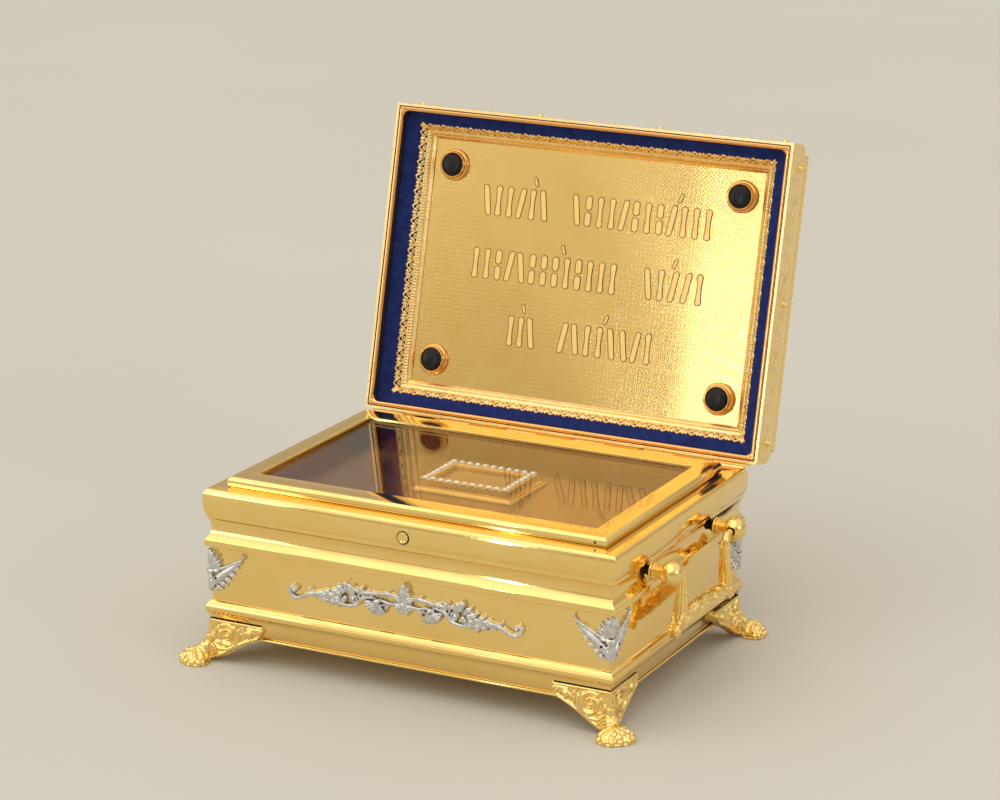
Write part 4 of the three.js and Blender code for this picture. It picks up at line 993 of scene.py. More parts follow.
# ---------------------------------------------------------- relic capsule
def capsule():
    def slabs(prof, hx, hy, rc=0.5):
        return moulding(prof, hx, hy, rc=rc, close=False, caps=False)

    g = Geo()
    # stepped plinth, frame top and the sunk window's walls
    prof = curve(
        [(0, -8.7), (0, -7.7), (0.2, -7.2), (0.7, -7.0), (1.6, -7.0), (1.9, -6.7), (2.1, -6.1), (2.6, -5.8), (4.0, -5.7), (4.7, -5.5), (5.0, -4.9), (5.0, -1.9), (4.7, -1.5), (4.7, -0.9), (5.1, -0.45), (6.0, -0.32), (11.0, -0.32), (11.5, -0.5), (11.7, -1.0), (11.7, -3.5)],
        0.25, [0, 1, 3, 4, 8, 11, 12, 13, 15, 16, 18, 19],
    )
    g.extend(slabs(prof, 38, 28.2, 0.8), flip=False)
    # window floor
    g.add([(-26.3, -16.5, -3.5), (26.3, -16.5, -3.5), (26.3, 16.5, -3.5), (-26.3, 16.5, -3.5)], [[0, 1, 2, 3]])
    make("capsule_form", g, M_CAPSULE, "casket", ["relic_capsule"], sharp=30)
    # stones in claws round the frame: brilliant cut, table up
    st, cl = Geo(), Geo()
    def stone(x, y, r, big):
        z0 = -0.32
        seg = 8
        gem = turned([[0.0, 1.35], [0.55 * r, 1.3], [0.98 * r, 0.7], [r, 0.55], [0.5 * r, -0.1]], seg)
        st.extend(gem, lambda v: v + np.array([x, y, z0]))
        cup = turned([[r + 0.35, -0.2], [r + 0.42, 0.35], [r + 0.18, 0.62], [r - 0.1, 0.5]], 14)
        cl.extend(cup, lambda v: v + np.array([x, y, z0]))
        for k in range(4):
            a = PI / 4 + k * PI / 2
            cl.extend(ball((x + (r + 0.05) * math.cos(a), y + (r + 0.05) * math.sin(a), z0 + 0.72), 0.34, 6, 4))
    hx, hy = 30.0, 21.7
    nx, ny = 11, 7
    for k in range(nx):
        x = -hx + 2 * hx * k / (nx - 1)
        for s in (-1, 1):
            stone(x, s * hy, 2.2 if k % 2 == 0 else 2.0, k % 2 == 0)
    for k in range(1, ny):
        y = -hy + 2 * hy * k / ny
        for s in (-1, 1):
            stone(s * hx, y, 1.95, True)
    make("capsule_stones", st, M_GEM, "casket", sharp=8)
    make("capsule_claws", cl, M_SILVER, "casket", sharp=60)
    # the dark window inside the frame and its inner bead
    g = Geo()
    g.extend(moulding([(0.0, -3.4), (0.0, -1.6), (0.35, -1.2), (0.9, -1.2), (1.2, -1.6), (1.3, -3.4)], 26.2, 16.4, rc=0.6, close=False))
    make("capsule_bezel", g, M_TRAY, "casket", sharp=50)
    g = Geo()
    g.extend(moulding([(0, -3.3), (1.0, -2.7), (3.2, -2.35), (8, -2.2), (15.0, -2.18)], 24.9, 15.1, rc=0.3, close=False, caps=True))
    make("capsule_window", g, M_WINDOW, "casket", sharp=50)


capsule()


# ---------------------------------------------------------------- handles
def handles():
    prof = [(0, 11.6)]
    for p in curve(
        [(5.0, 11.6), (5.6, 11.75), (6.3, 12.1), (6.5, 12.7), (6.2, 13.3), (5.2, 13.5), (5.2, 13.8), (6.0, 14.0), (6.5, 14.7), (6.3, 15.4), (5.3, 15.7), (5.2, 15.9), (5.7, 16.2), (5.8, 16.7), (5.2, 17.1), (4.2, 17.3), (3.7, 17.8), (3.9, 18.6)],
        0.3, [5, 6, 10, 11, 15],
    ):
        prof.append(tuple(p))
    for i in range(25):
        a = 0.5 + (PI - 0.5) * i / 24
        prof.append((max(0.0, 8.2 * math.sin(a)), 26.0 - 8.2 * math.cos(a)))
    post = Geo()
    post.extend(turned(prof, 56), place((1, 0, 0), (140.0, -53.0, -25.6)))
    # blind bore in the ball's inner face, cut by a boolean
    me = bpy.data.meshes.new("bore_work")
    me.from_pydata((post.verts() * 0.001).tolist(), [], post.f)
    ob = bpy.data.objects.new("bore_work", me)
    tool_geo = Geo()
    tool_geo.extend(turned([[0, 0], [3.3, 0], [3.45, 0.4], [3.45, 12], [0, 12]], 40), place((0, 1, 0), (166.0, -50.4, -25.6)))
    tm = bpy.data.meshes.new("bore_tool")
    tm.from_pydata((tool_geo.verts() * 0.001).tolist(), [], tool_geo.f)
    tool = bpy.data.objects.new("bore_tool", tm)
    for o in (ob, tool):
        bpy.context.scene.collection.objects.link(o)
    for m in (me, tm):
        import bmesh

        bm = bmesh.new()
        bm.from_mesh(m)
        bmesh.ops.remove_doubles(bm, verts=bm.verts, dist=1e-7)
        bmesh.ops.recalc_face_normals(bm, faces=bm.faces)
        bm.to_mesh(m)
        bm.free()
    mod = ob.modifiers.new("b", "BOOLEAN")
    mod.operation, mod.object, mod.solver = "DIFFERENCE", tool, "EXACT"
    ev = ob.evaluated_get(bpy.context.evaluated_depsgraph_get())
    out = ev.to_mesh()
    co = np.empty(len(out.vertices) * 3)
    out.vertices.foreach_get("co", co)
    cut = Geo()
    cut.add(co.reshape(-1, 3) * 1000, [list(p.vertices) for p in out.polygons])
    ev.to_mesh_clear()
    for o in (ob, tool):
        bpy.data.objects.remove(o, do_unlink=True)
    for corner, (sx, sy) in CORNER_SIGNS.items():
        g = Geo()
        g.extend(cut, lambda v: v * np.array([sx, sy, 1.0]), flip=sx * sy < 0)
        make("post_" + corner, g, M_POLISH, "casket", ["handle_post_" + corner], sharp=40)
        g = Geo()
        neck = turned([[2.6, 4.0], [2.6, 7.8], [2.9, 8.3], [3.7, 9.8], [4.7, 11.4], [5.0, 11.62]], 40)
        g.extend(neck, lambda v: place((1, 0, 0), (140.0, -53.0, -25.6))(v) * np.array([sx, sy, 1.0]), flip=sx * sy < 0)
        make("post_shadow_" + corner, g, M_DARK_AND_SHADE, "casket", sharp=40)

    # bail: two pearled legs ending in scrolls, joined by a leaf-wrapped rail
    z0, zr, leg = -25.6, -64.1, 38.0
    B = Geo()
    for s in (-1, 1):
        pts = [(0, s * 49.2, z0), (0, s * 44, z0), (0, s * 40.4, z0 - 0.6), (0, s * 38.0, z0 - 2.8), (0, s * 36.9, z0 - 7), (0, s * 36.4, z0 - 14), (0, s * 36.8, z0 - 22), (0, s * 38, z0 - 30), (0, s * 39.6, z0 - 37)]
        P = spline3(pts, 70)
        B.extend(tube(P, np.interp(np.linspace(0, 1, 70), [0, 0.16, 0.35, 0.7, 1], [2.5, 2.6, 3.2, 3.9, 4.3]), 18, ((1, 0, 0), 1.0)))
        # pearls down the outer face
        for k in range(14):
            z = z0 - 8 - 1.95 * k
            yy = float(np.interp(-(z - z0), [0, 7, 14, 22, 30, 37], [40, 36.9, 36.4, 36.8, 38, 39.6]))
            r = 0.9 + 0.045 * k
            B.extend(ball((3.1 + 0.085 * k, s * yy, z), r * 1.1, 10, 7))
            B.extend(ball((2.2 + 0.06 * k, s * (yy - 2.5 - 0.06 * k), z - 0.9), 0.85 * r, 8, 6))
            B.extend(ball((2.2 + 0.06 * k, s * (yy + 2.5 + 0.06 * k), z - 0.9), 0.85 * r, 8, 6))
        for side in (-1, 1):
            q = np.array([(2.1 + 0.05 * k, s * (float(np.interp(7 + 2.2 * k, [0, 7, 14, 22, 30, 37], [40, 36.9, 36.4, 36.8, 38, 39.6])) + side * (1.6 + 0.07 * k)), z0 - 7 - 2.2 * k) for k in range(12)])
            B.extend(tube(q, np.linspace(0.5, 0.7, 12), 8))
        # scrolls at the foot of the leg
        for cy, cz, r, turns, a0 in ((38.4, -62.0, 5.6, 1.6, PI * 0.5), (45.0, -67.0, 4.7, 1.4, PI * 0.75)):
            disc = turned([[0, -3.0], [r * 0.75, -3.0], [r, -2.0], [r, 2.0], [r * 0.75, 3.0], [0, 3.0]], 30)
            B.extend(disc, lambda v, cy=cy, cz=cz: place((1, 0, 0), (0, s * cy, cz))(v))
            for face in (-1, 1):
                sp = spiral(0, 0, r * 0.92, 0.7, a0, -turns, 60)
                B.extend(tube(np.stack([np.full(60, face * 3.0), s * (cy + sp[:, 0]), cz + sp[:, 1]], 1), np.linspace(1.25, 0.7, 60), 8))
                B.extend(ball((face * 3.1, s * cy, cz), 1.5, 10, 7))
                for k in range(9):
                    aa = a0 + k * TAU / 9
                    B.extend(ball((face * 2.2, s * (cy + r * 0.98 * math.cos(aa)), cz + r * 0.98 * math.sin(aa)), 0.85, 8, 6))
        # leaf bridging the two scrolls
        for k in range(5):
            a = -0.5 + 0.42 * k
            B.extend(tube(np.array([(0, s * 40.5, -64.5), (0, s * (42 + 4.2 * math.cos(a - 0.9)), -66.4 + 4.2 * math.sin(a - 0.9)), (0, s * (42.4 + 6.4 * math.cos(a - 0.8)), -66.6 + 6.0 * math.sin(a - 0.8))]), [2.4, 1.7, 0.7], 10))
    # the rail: three tiers of leaves running out from a middle collar
    nt, na = 260, 96
    y = np.linspace(-leg, leg, nt)
    t = np.abs(y) / leg
    r0 = 5.4 + 1.0 * np.cos(PI / 2 * np.clip(t, 0, 1)) ** 1.2
    ang = np.arange(na) * TAU / na
    T, A = np.meshgrid(t, ang, indexing="ij")
    disp = np.zeros_like(T)
    for tier, (a, b) in enumerate(((0.06, 0.44), (0.34, 0.72), (0.62, 1.0))):
        k = np.clip((T - a) / (b - a), 0, 1)
        lobe = np.abs(np.cos(2.5 * (A + tier * PI / 5)))
        tip = 1 - k / (0.45 + 0.55 * lobe)
        vein = 0.5 + 0.5 * np.cos(15 * (A + 0.25 * k))
        h = np.where((T > a) & (tip > 0), 0.9 + 1.1 * np.clip(tip, 0, 1) ** 0.5 * lobe**0.5 + 0.45 * vein - 0.5 * (1 - k), 0)
        disp = np.maximum(disp, h)
    disp = np.where(T < 0.06, 1.7 + 0.3 * np.cos(A * 14), disp)
    rr = r0[:, None] + disp - 1.3
    zc = zr + 0.9 * np.cos(PI / 2 * t) ** 2
    v = np.stack([0.86 * rr * np.cos(A), np.repeat(y[:, None], na, 1), zc[:, None] + rr * np.sin(A)], 2).reshape(-1, 3)
    rail = Geo()
    rail.add(v, grid_faces(nt, na, close_v=True)[:, ::-1])
    rail.f.append(list(range(na)))
    rail.f.append([(nt - 1) * na + i for i in range(na)][::-1])
    B.extend(rail)
    skin = fuse(B, 0.47, 1, 0.3)
    for side, sx in (("right", 1), ("left", -1)):
        g = Geo()
        g.extend(skin, lambda v: (v + np.array([166.0, 0, 0])) * np.array([sx, 1.0, 1.0]), flip=sx < 0)
        make("bail_form_" + side, g, M_CAST, "bail_" + side, ["bail_" + side], sharp=60)


handles()


# ------------------------------------------------------------------ hinge
def hinge():
    pitch, n = 26.7, 11
    bz, by = -3.33, 115.46
    half = n * pitch / 2
    a, b, c = Geo(), Geo(), Geo()

    def knuckle(g, k, fn):
        w = (pitch - 0.5) / 2
        x = (k - (n - 1) / 2) * pitch
        pr = [[1.35, -w], [2.3, -w], [2.6, -w + 0.3], [2.6, w - 0.3], [2.3, w], [1.35, w], [1.35, -w]]
        g.extend(turned(pr, 28), lambda v: fn(np.stack([v[:, 2] + x, v[:, 0], v[:, 1]], 1)))

    def slab_box(g, x0, x1, y0, y1, z0, z1, fn=lambda v: v):
        v = np.array([(x, y, z) for x in (x0, x1) for y in (y0, y1) for z in (z0, z1)], float)
        g.add(fn(v), [[0, 1, 3, 2], [4, 6, 7, 5], [0, 4, 5, 1], [2, 3, 7, 6], [0, 2, 6, 4], [1, 5, 7, 3]])

    for k in range(0, n, 2):
        knuckle(a, k, lambda v: v + np.array([0, by, bz]))
        x = (k - (n - 1) / 2) * pitch
        w = (pitch - 0.5) / 2
        slab_box(a, x - w, x + w, RIM_Y + 2.4, by, bz - 2.6, bz - 1.2)
    slab_box(a, -half, half, RIM_Y + 2.4, RIM_Y + 3.4, -14, -5)
    for k in range(n):
        x = (k - (n - 1) / 2) * pitch
        for dz in (-11.4, -7.6):
            a.extend(turned([[0, 0.45], [0.7, 0.38], [1.1, 0.0]], 14), place((0, 1, 0), (x + (6 if dz < -9 else -6), RIM_Y + 3.4, dz)))
    make("hinge_body_leaf", a, M_POLISH, "casket", ["hinge_leaf_body"], sharp=35)
    b.extend(turned([[0, -half], [0.7, -half], [0.9, -half + 0.2], [0.9, half - 0.2], [0.7, half], [0, half]], 20), lambda v: np.stack([v[:, 2], v[:, 0] + by, v[:, 1] + bz], 1))
    make("hinge_rod", b, M_POLISH, "casket", ["hinge_pin"], sharp=35)
    bv, bn = -4.06, 3.73
    for k in range(1, n, 2):
        knuckle(c, k, lambda v: v + np.array([0, bv, bn]))
        x = (k - (n - 1) / 2) * pitch
        w = (pitch - 0.5) / 2
        slab_box(c, x - w, x + w, -2.4, -0.4, -0.8, bn + 1)
    slab_box(c, -half, half, -1.7, -0.3, -9, -0.3)
    make("hinge_lid_leaf", c, M_POLISH, "lid", ["hinge_leaf_lid"], sharp=35, lid=True)


hinge()

# -------------------------------------------------------------------- lid
LX, LV, LD = 153.9, 222.8, 26.0
LC = LV / 2
E1, E2, E3 = 5.4, 15.3, 25.0
BN, PN = -10.6, -21.0  # depth of the border's outer edge, of the plate


def lid_inset_v(e):
    return np.interp(e, [0, 5.4, 15.3, 25.0, 120], [0, 5.4, 12.8, 22.5, 117.5])


def lid_ring(prof, **k):
    return moulding(prof, LX, LC, cy=LC, inset_y=lid_inset_v, **k)


def lid_shell():
    def section(inset, top, n_arc=22):
        r = 10.0 - inset
        v0, v1, n = inset, LV - inset, inset - LD
        pts = [(v0, top)]
        for i in range(n_arc + 1):
            a = PI + PI / 2 * i / n_arc
            pts.append((v0 + r + r * math.cos(a), n + r + r * math.sin(a)))
        for i in range(n_arc + 1):
            a = 1.5 * PI + PI / 2 * i / n_arc
            pts.append((v1 - r + r * math.cos(a), n + r + r * math.sin(a)))
        pts.append((v1, top))
        return np.array(pts)

    o, i = section(0, 0.0), section(1.9, 0.0)
    n = len(o)
    hx, hi = LX, LX - 1.9
    v, f = [], []
    for arr, h in ((o, hx), (i, hi)):
        for s in (-1, 1):
            v += [(s * h, a, b) for a, b in arr]
    OL, OR, IL, IR = 0, n, 2 * n, 3 * n
    for k in range(n - 1):
        f.append([OL + k, OR + k, OR + k + 1, OL + k + 1][::-1])
        f.append([IL + k, IR + k, IR + k + 1, IL + k + 1])
    f.append([OL + k for k in range(n)][::-1])
    f.append([OR + k for k in range(n)])
    f.append([IL + k for k in range(n)])
    f.append([IR + k for k in range(n)][::-1])
    f += [[OL, IL, IR, OR], [OL + n - 1, OR + n - 1, IR + n - 1, IL + n - 1], [OL, OL + n - 1, IL + n - 1, IL], [OR, IR, IR + n - 1, OR + n - 1]]
    g = Geo()
    g.add(v, f)
    import bmesh

    make("lid_case", g, M_LIDWALL, "lid", ["lid_shell"], sharp=35, lid=True)


lid_shell()

rim_prof = curve(
    [(2.45, -0.9), (2.5, -0.35), (2.85, 0.0), (3.4, 0.12), (4.2, 0.1), (4.9, -0.25), (5.3, -0.8), (5.4, -1.5), (5.4, -7.1), (2.5, -7.1), (2.45, -0.9)],
    0.2, [0, 7, 8, 9],
)
make("lid_rim_band", lid_ring(rim_prof, rc=lambda e: 0.5 + 4.2 * max(0.0, min(1.0, (e - 3.2) / 2.2)), seg=8), M_RIM, "lid", ["lid_rim"], sharp=35, lid=True)
# painted shade: a dark flat strip in the rim's groove stands for the shade inside it
g = lid_ring([(1.7, -0.9), (2.6, -0.9)], rc=0.4, close=False)
make("lid_rim_groove_shade", g, M_DARK_AND_SHADE, "lid", sharp=35, lid=True)

pad = curve(
    [(2.6, -7.5), (5.0, -7.45), (6.2, -7.55), (8.0, -8.2), (11.0, -9.3), (13.6, -10.1), (15.2, -10.8), (16.2, -11.7), (18, -14.0), (21, -18.0), (23.6, -21.6), (24.6, -22.4), (30, -22.5)],
    0.6,
)
make("velvet_lining", lid_ring(pad, rc=lambda e: 4.4 if e < 8 else 4.4 - 3.6 * min(1.0, (e - 8) / 8.0), seg=8, close=False), M_VELVET, "lid", ["lid_liner"], sharp=180, lid=True)


# border: openwork scroll edge, rope of crescents, smooth bevel
SLOPE = (PN - BN) / (E3 - E2)
_t = np.array([1.0, SLOPE]) / math.hypot(1.0, SLOPE)
_n = np.array([-SLOPE, 1.0]) / math.hypot(1.0, SLOPE)


def border_sides(mesh_fn, half_at):
    """mesh_fn(across) gives a Geo in (t, e, h), placed on all four sides; half_at is not used."""
    out = Geo()
    for side in range(4):
        across = side % 2 == 0  # 0 bottom, 2 top: run along u
        g = mesh_fn(across)

        def put(v, side=side, across=across):
            t, e, h = v[:, 0], v[:, 1], v[:, 2]
            e2 = e + _n[0] * h
            n2 = BN + 0.2 + (e) * SLOPE + _n[1] * h
            if side == 0:
                return np.stack([t, lid_inset_v(E2) + e2, n2], 1)
            if side == 2:
                return np.stack([-t, LV - lid_inset_v(E2) - e2, n2], 1)
            if side == 1:
                return np.stack([LX - E2 - e2, LC + t, n2], 1)
            return np.stack([-(LX - E2) + e2, LC - t, n2], 1)

        out.extend(g, put)
    return out


def solid_border(across):
    half0 = (LX - E2) if across else (LC - 12.8)
    e = np.concatenate([[4.2, 4.25], np.arange(4.4, 7.35, 0.24), [7.4, 7.6, 7.7, 8.6, 9.4, 9.6, 9.7]])
    tau = np.linspace(-1, 1, int(2 * half0 / 0.42))
    T, E = np.meshgrid(tau, e, indexing="ij")
    t = T * (half0 - E)
    k = (E - 5.9) / 1.35
    rope = np.where(np.abs(k) < 1, np.sqrt(np.clip(1 - k**2, 0, 1)) * (0.30 + 0.62 * np.abs(np.sin(PI * (t / 2.2 + 0.34 * k**2 * np.sign(t)))) ** 0.7), 0)
    h = np.where(E < 4.22, -1.2, 0.15 + rope)
    h = np.where(E > 7.45, 0.45, h)
    h = np.where(E > 9.45, -0.6, h)
    g = Geo()
    g.add(np.stack([t, E, h], 2).reshape(-1, 3), grid_faces(len(tau), len(e)))
    return g


def lace(across):
    half0 = (LX - E2) if across else (LC - 12.8)
    R = Relief(-half0, half0, -0.6, 5.0, 0.30)
    n = 25 if across else 18
    P = 2 * (half0 - 1.5) / n
    x = np.linspace(-half0 + 0.8, half0 - 0.8, n * 26)
    ph = TAU * (x + half0 - 1.5) / P
    R.stroke(np.stack([x, 2.3 + 1.75 * np.cos(ph)], 1), 0.45, 0.25, 0.85)
    for k in range(n + 1):
        c = -half0 + 1.5 + P * k
        m = c + P / 2
        for s in (-1, 1):
            if abs(c) < half0 - 3:  # the vine dips towards the plate: a bay open to the velvet
                R.stroke(spiral(c + s * 1.35, 1.75, 1.05, 0.4, PI / 2 * (1 + s), s * 1.0, 24), np.linspace(0.40, 0.28, 24), 0.1, 0.75)
                R.leaf(c + s * 0.3, 3.3, 3.0, 0.6, -PI / 2 + s * 0.5, lobes=1, base=0.1, lift=0.55)
            if abs(m) < half0 - 3:  # the vine runs outside: a filled bay with a curl
                R.stroke(spiral(m + s * 1.2, 2.6, 1.15, 0.4, -PI / 2 * (1 + s), -s * 1.0, 24), np.linspace(0.42, 0.3, 24), 0.1, 0.75)
                R.leaf(m + s * 1.4, 0.9, 1.9, 0.45, PI - 0.3 if s < 0 else 0.3, lobes=1, base=0.05, lift=0.5)
    
    # ends closed by a leaf on the mitre
    for s in (-1, 1):
        R.leaf(s * (half0 - 0.6), 0.2, 5.2, 1.5, PI / 2 + s * PI / 4, lobes=3, base=0.3, lift=0.8)
    R.stroke(np.stack([x, 4.45 + 0 * x], 1), 0.35, 0.1, 0.6)
    R.h = np.where(np.abs(R.A) < half0 - R.B + 0.2, R.h, -9.0)
    return R.geo(lambda a, b, h: np.stack([a, b, h], 1), sink=-0.9)


make("border_moulding", border_sides(solid_border, None), M_FRIEZE, "lid", ["lid_border"], sharp=48, lid=True)
make("border_lace", border_sides(lace, None), M_FRIEZE, "lid", sharp=52, lid=True)


# plate, its marks, and the buffers
def plate():
    hu, hv = LX - E3 - 0.3 + 0.6, LC - 22.5 - 0.3 + 0.6
    g = Geo()
    nx, ny = 60, 42
    U, V = np.meshgrid(np.linspace(-hu, hu, nx), np.linspace(LC - hv, LC + hv, ny), indexing="ij")
    # a hand-worked sheet is never quite flat
    N = PN + 0.10 * np.sin(U / 41.0 + 0.6) * np.cos(V / 33.0) + 0.05 * np.sin(U / 17.0 + V / 23.0)
    q = np.clip((U - 72) / 34, 0, 1)
    N = N - 0.030 * np.where(U > 106, 17 + (U - 106), 17 * q * q)
    g.add(np.stack([U, V, N], 2).reshape(-1, 3), grid_faces(nx, ny))
    make("plate_sheet", g, M_PLATE, "lid", ["lid_plate"], sharp=180, lid=True)

    lines, fills = Geo(), Geo()
    rng = np.random.default_rng(3)

    def outline(cu, cv, w, h, slant, waist=0.0):
        """A closed, round-ended upright bar; it stands for one mark."""
        pts = []
        r = w / 2
        hh = h / 2 - r
        for k in range(14):
            a = PI * k / 13
            pts.append((r * math.cos(a), hh + r * math.sin(a)))
        for k in range(1, 9):
            q = k / 9
            pts.append((-r + waist * math.sin(PI * q), hh - 2 * hh * q))
        for k in range(14):
            a = PI + PI * k / 13
            pts.append((r * math.cos(a), -hh + r * math.sin(a)))
        for k in range(1, 9):
            q = k / 9
            pts.append((r - waist * math.sin(PI * q), -hh + 2 * hh * q))
        p = np.array(pts)
        p[:, 0] += slant * p[:, 1]
        p += (cu, cv)
        n = len(p)
        d = np.roll(p, -1, 0) - np.roll(p, 1, 0)
        nor = np.stack([d[:, 1], -d[:, 0]], 1)
        nor /= np.linalg.norm(nor, axis=1)[:, None]
        o, i = p + nor * 0.29, p - nor * 0.29

        def lift(q, up):
            return np.stack([q[:, 0], q[:, 1], np.full(len(q), PN + 0.17 + up)], 1)

        lines.add(np.concatenate([lift(o, 0.05), lift(i, 0.05)]), [[k, (k + 1) % n, n + (k + 1) % n, n + k] for k in range(n)])
        c = lift(np.concatenate([i, [[cu, cv]]]), 0.02)
        fills.add(c, [[k, (k + 1) % n, n] for k in range(n)])

    for words, v0, v1 in (
        (((-88, -34), (-17, 94)), 149, 171),
        (((-92, 26), (44, 93)), 103, 125),
        (((-58, -34), (-17, 59)), 57, 79),
    ):
        for a, b in words:
            count = max(2, int(round((b - a) / 9.4)))
            step = (b - a) / count
            for k in range(count):
                kind = int(rng.integers(0, 5))
                c = a + (k + 0.5) * step
                if kind in (0, 3):
                    outline(c, (v0 + v1) / 2, 4.6, v1 - v0, 0.0, 0.7)
                elif kind == 1:
                    outline(c, (v0 + v1) / 2, 4.2, v1 - v0, 0.16)
                elif kind == 2:
                    outline(c, v0 + 5.2, 4.8, 10.2, 0.0)
                    outline(c, v1 - 5.2, 4.8, 10.2, 0.0)
                else:
                    outline(c, (v0 + v1) / 2, 4.2, v1 - v0, -0.16)
    for cu, cv in ((-46, 176.5), (67, 176.5), (-19, 130.5), (68, 130), (-45, 85), (20, 84.5)):
        outline(cu, cv, 2.4, 6.6, 0.34 if cu > 0 else -0.34)
    make("plate_marks", lines, M_MARK, "lid", sharp=180, lid=True)
    make("plate_mark_fills", fills, M_FILL, "lid", sharp=180, lid=True)

    for name, (s, v) in {"back_left": (-1, 40.0), "back_right": (1, 40.0), "front_left": (-1, 182.4), "front_right": (1, 182.4)}.items():
        at = np.array([s * 112.5, v, PN])
        cup = Geo()
        n = 96

        def mill(a, r, z):
            edge = (z > 0.35) & (z < 1.5) & (r > 11.0)
            return r + np.where(edge, 0.22 * np.cos(a * 48), 0), z

        cup.extend(
            turned(
                curve([(8.3, 4.4), (8.45, 4.85), (8.8, 5.05), (9.15, 4.9), (9.35, 4.4), (9.4, 2.9), (9.7, 2.35), (10.4, 2.1), (11.0, 1.95), (11.4, 1.5), (11.5, 1.2), (11.5, 0.5), (11.3, 0.2), (11.3, -0.9)], 0.3, [5, 9, 12])[::-1],
                n, mill,
            ),
            lambda v_: v_ + at,
        )
        make("cup_" + name, cup, M_CUP, "lid", ["buffer_cup_" + name], sharp=50, lid=True)
        pad_g = Geo()
        pad_g.extend(turned(curve([(8.25, 3.6), (8.2, 4.3), (7.9, 4.95), (7.0, 5.7), (5.2, 6.25), (2.8, 6.5), (0, 6.6)], 0.4)[::1], 48), lambda v_: v_ + at)
        make("dome_" + name, pad_g, M_DOME, "lid", ["buffer_dome_" + name], sharp=180, lid=True)


plate()


# engraved running scroll on the lid's walls
def frieze():
    def field(length, b0, b1, period):
        R = Relief(-length / 2, length / 2, b0, b1, 0.42)
        n = int(round((length - 8) / period))
        p = (length - 8) / n
        m = (b0 + b1) / 2
        amp = (b1 - b0) * 0.20
        x = np.linspace(-length / 2 + 4, length / 2 - 4, n * 22)
        R.stroke(np.stack([x, m + amp * np.sin(TAU * (x + length / 2 - 4) / (2 * p))], 1), 0.55, 0.0, 0.62)
        for k in range(n):
            c = -length / 2 + 4 + (k + 0.5) * p
            s = 1 if k % 2 == 0 else -1
            R.stroke(spiral(c, m - s * amp * 0.55, p * 0.30, 0.6, PI / 2 * s, s * 1.25, 36), np.linspace(0.55, 0.35, 36), 0.0, 0.62)
            R.dot(c, m - s * amp * 0.55, 0.8, 0.0, 0.6)
            for q, deg in enumerate((25, 60, 120, 155)):
                a = math.radians(deg)
                R.leaf(c + (q - 1.5) * p * 0.13, m + s * amp * 1.1, (b1 - b0) * 0.26, 0.85, a if s > 0 else -a, lobes=2, base=0.0, lift=0.55, vein=0.15)
        for edge in (b0 + 0.7, b1 - 0.7):
            R.stroke(np.array([(-length / 2 + 0.8, edge), (length / 2 - 0.8, edge)]), 0.5, 0.0, 0.9)
        for end in (-length / 2 + 1, length / 2 - 1):
            R.stroke(np.array([(end, b0 + 0.7), (end, b1 - 0.7)]), 0.45, 0.0, 0.9)
        R.h = np.where(R.h > 0, np.minimum(0.62 * R.h, 0.5), R.h)
        return R

    R = field(LV - 5, -19.6, -2.6, 13)
    g = R.geo(lambda a, b, h: np.stack([LX + h, LC + a, b], 1), sink=-0.3)
    make("frieze_right", g, M_FRIEZE, "lid", sharp=52, lid=True)
    g = R.geo(lambda a, b, h: np.stack([-(LX + h), LC - a, b], 1), sink=-0.3)
    make("frieze_left", g, M_FRIEZE, "lid", sharp=52, lid=True)
    R = field(2 * LX - 8, -15.4, -2.6, 12)
    g = R.geo(lambda a, b, h: np.stack([-a, LV + h, b], 1), sink=-0.3)
    make("frieze_front", g, M_FRIEZE, "lid", sharp=52, lid=True)
    # the hinge side stays clear of the hinge leaf
    R = field(2 * LX - 8, -15.4, -10.2, 9)
    g = R.geo(lambda a, b, h: np.stack([a, -h, b], 1), sink=-0.3)
    make("frieze_back", g, M_FRIEZE, "lid", sharp=52, lid=True)


frieze()

for i, u in enumerate((-141, -47, 47, 141)):
    g = Geo()
    g.extend(turned([[0, 2.65], [0.6, 2.6], [1.2, 2.3], [1.6, 1.7], [1.8, 1.0], [2.3, 0.8], [2.5, 0.5], [2.5, 0.0]], 24), place((0, 1, 0), (u, LV, -16.7)))
    make("stud_front_%d" % (i + 1), g, M_POLISH, "lid", ["lid_stud_front_%d" % (i + 1)], sharp=50, lid=True)
for side, s in (("right", 1), ("left", -1)):
    for i, v in enumerate((14.5, 111.4, 206)):
        g = Geo()
        g.extend(turned([[0, 2.65], [0.6, 2.6], [1.2, 2.3], [1.6, 1.7], [1.8, 1.0], [2.3, 0.8], [2.5, 0.5], [2.5, 0.0]], 24), place((s, 0, 0), (s * LX, v, -16.7)))
        make("stud_%s_%d" % (side, i + 1), g, M_POLISH, "lid", ["lid_stud_%s_%d" % (side, i + 1)], sharp=50, lid=True)


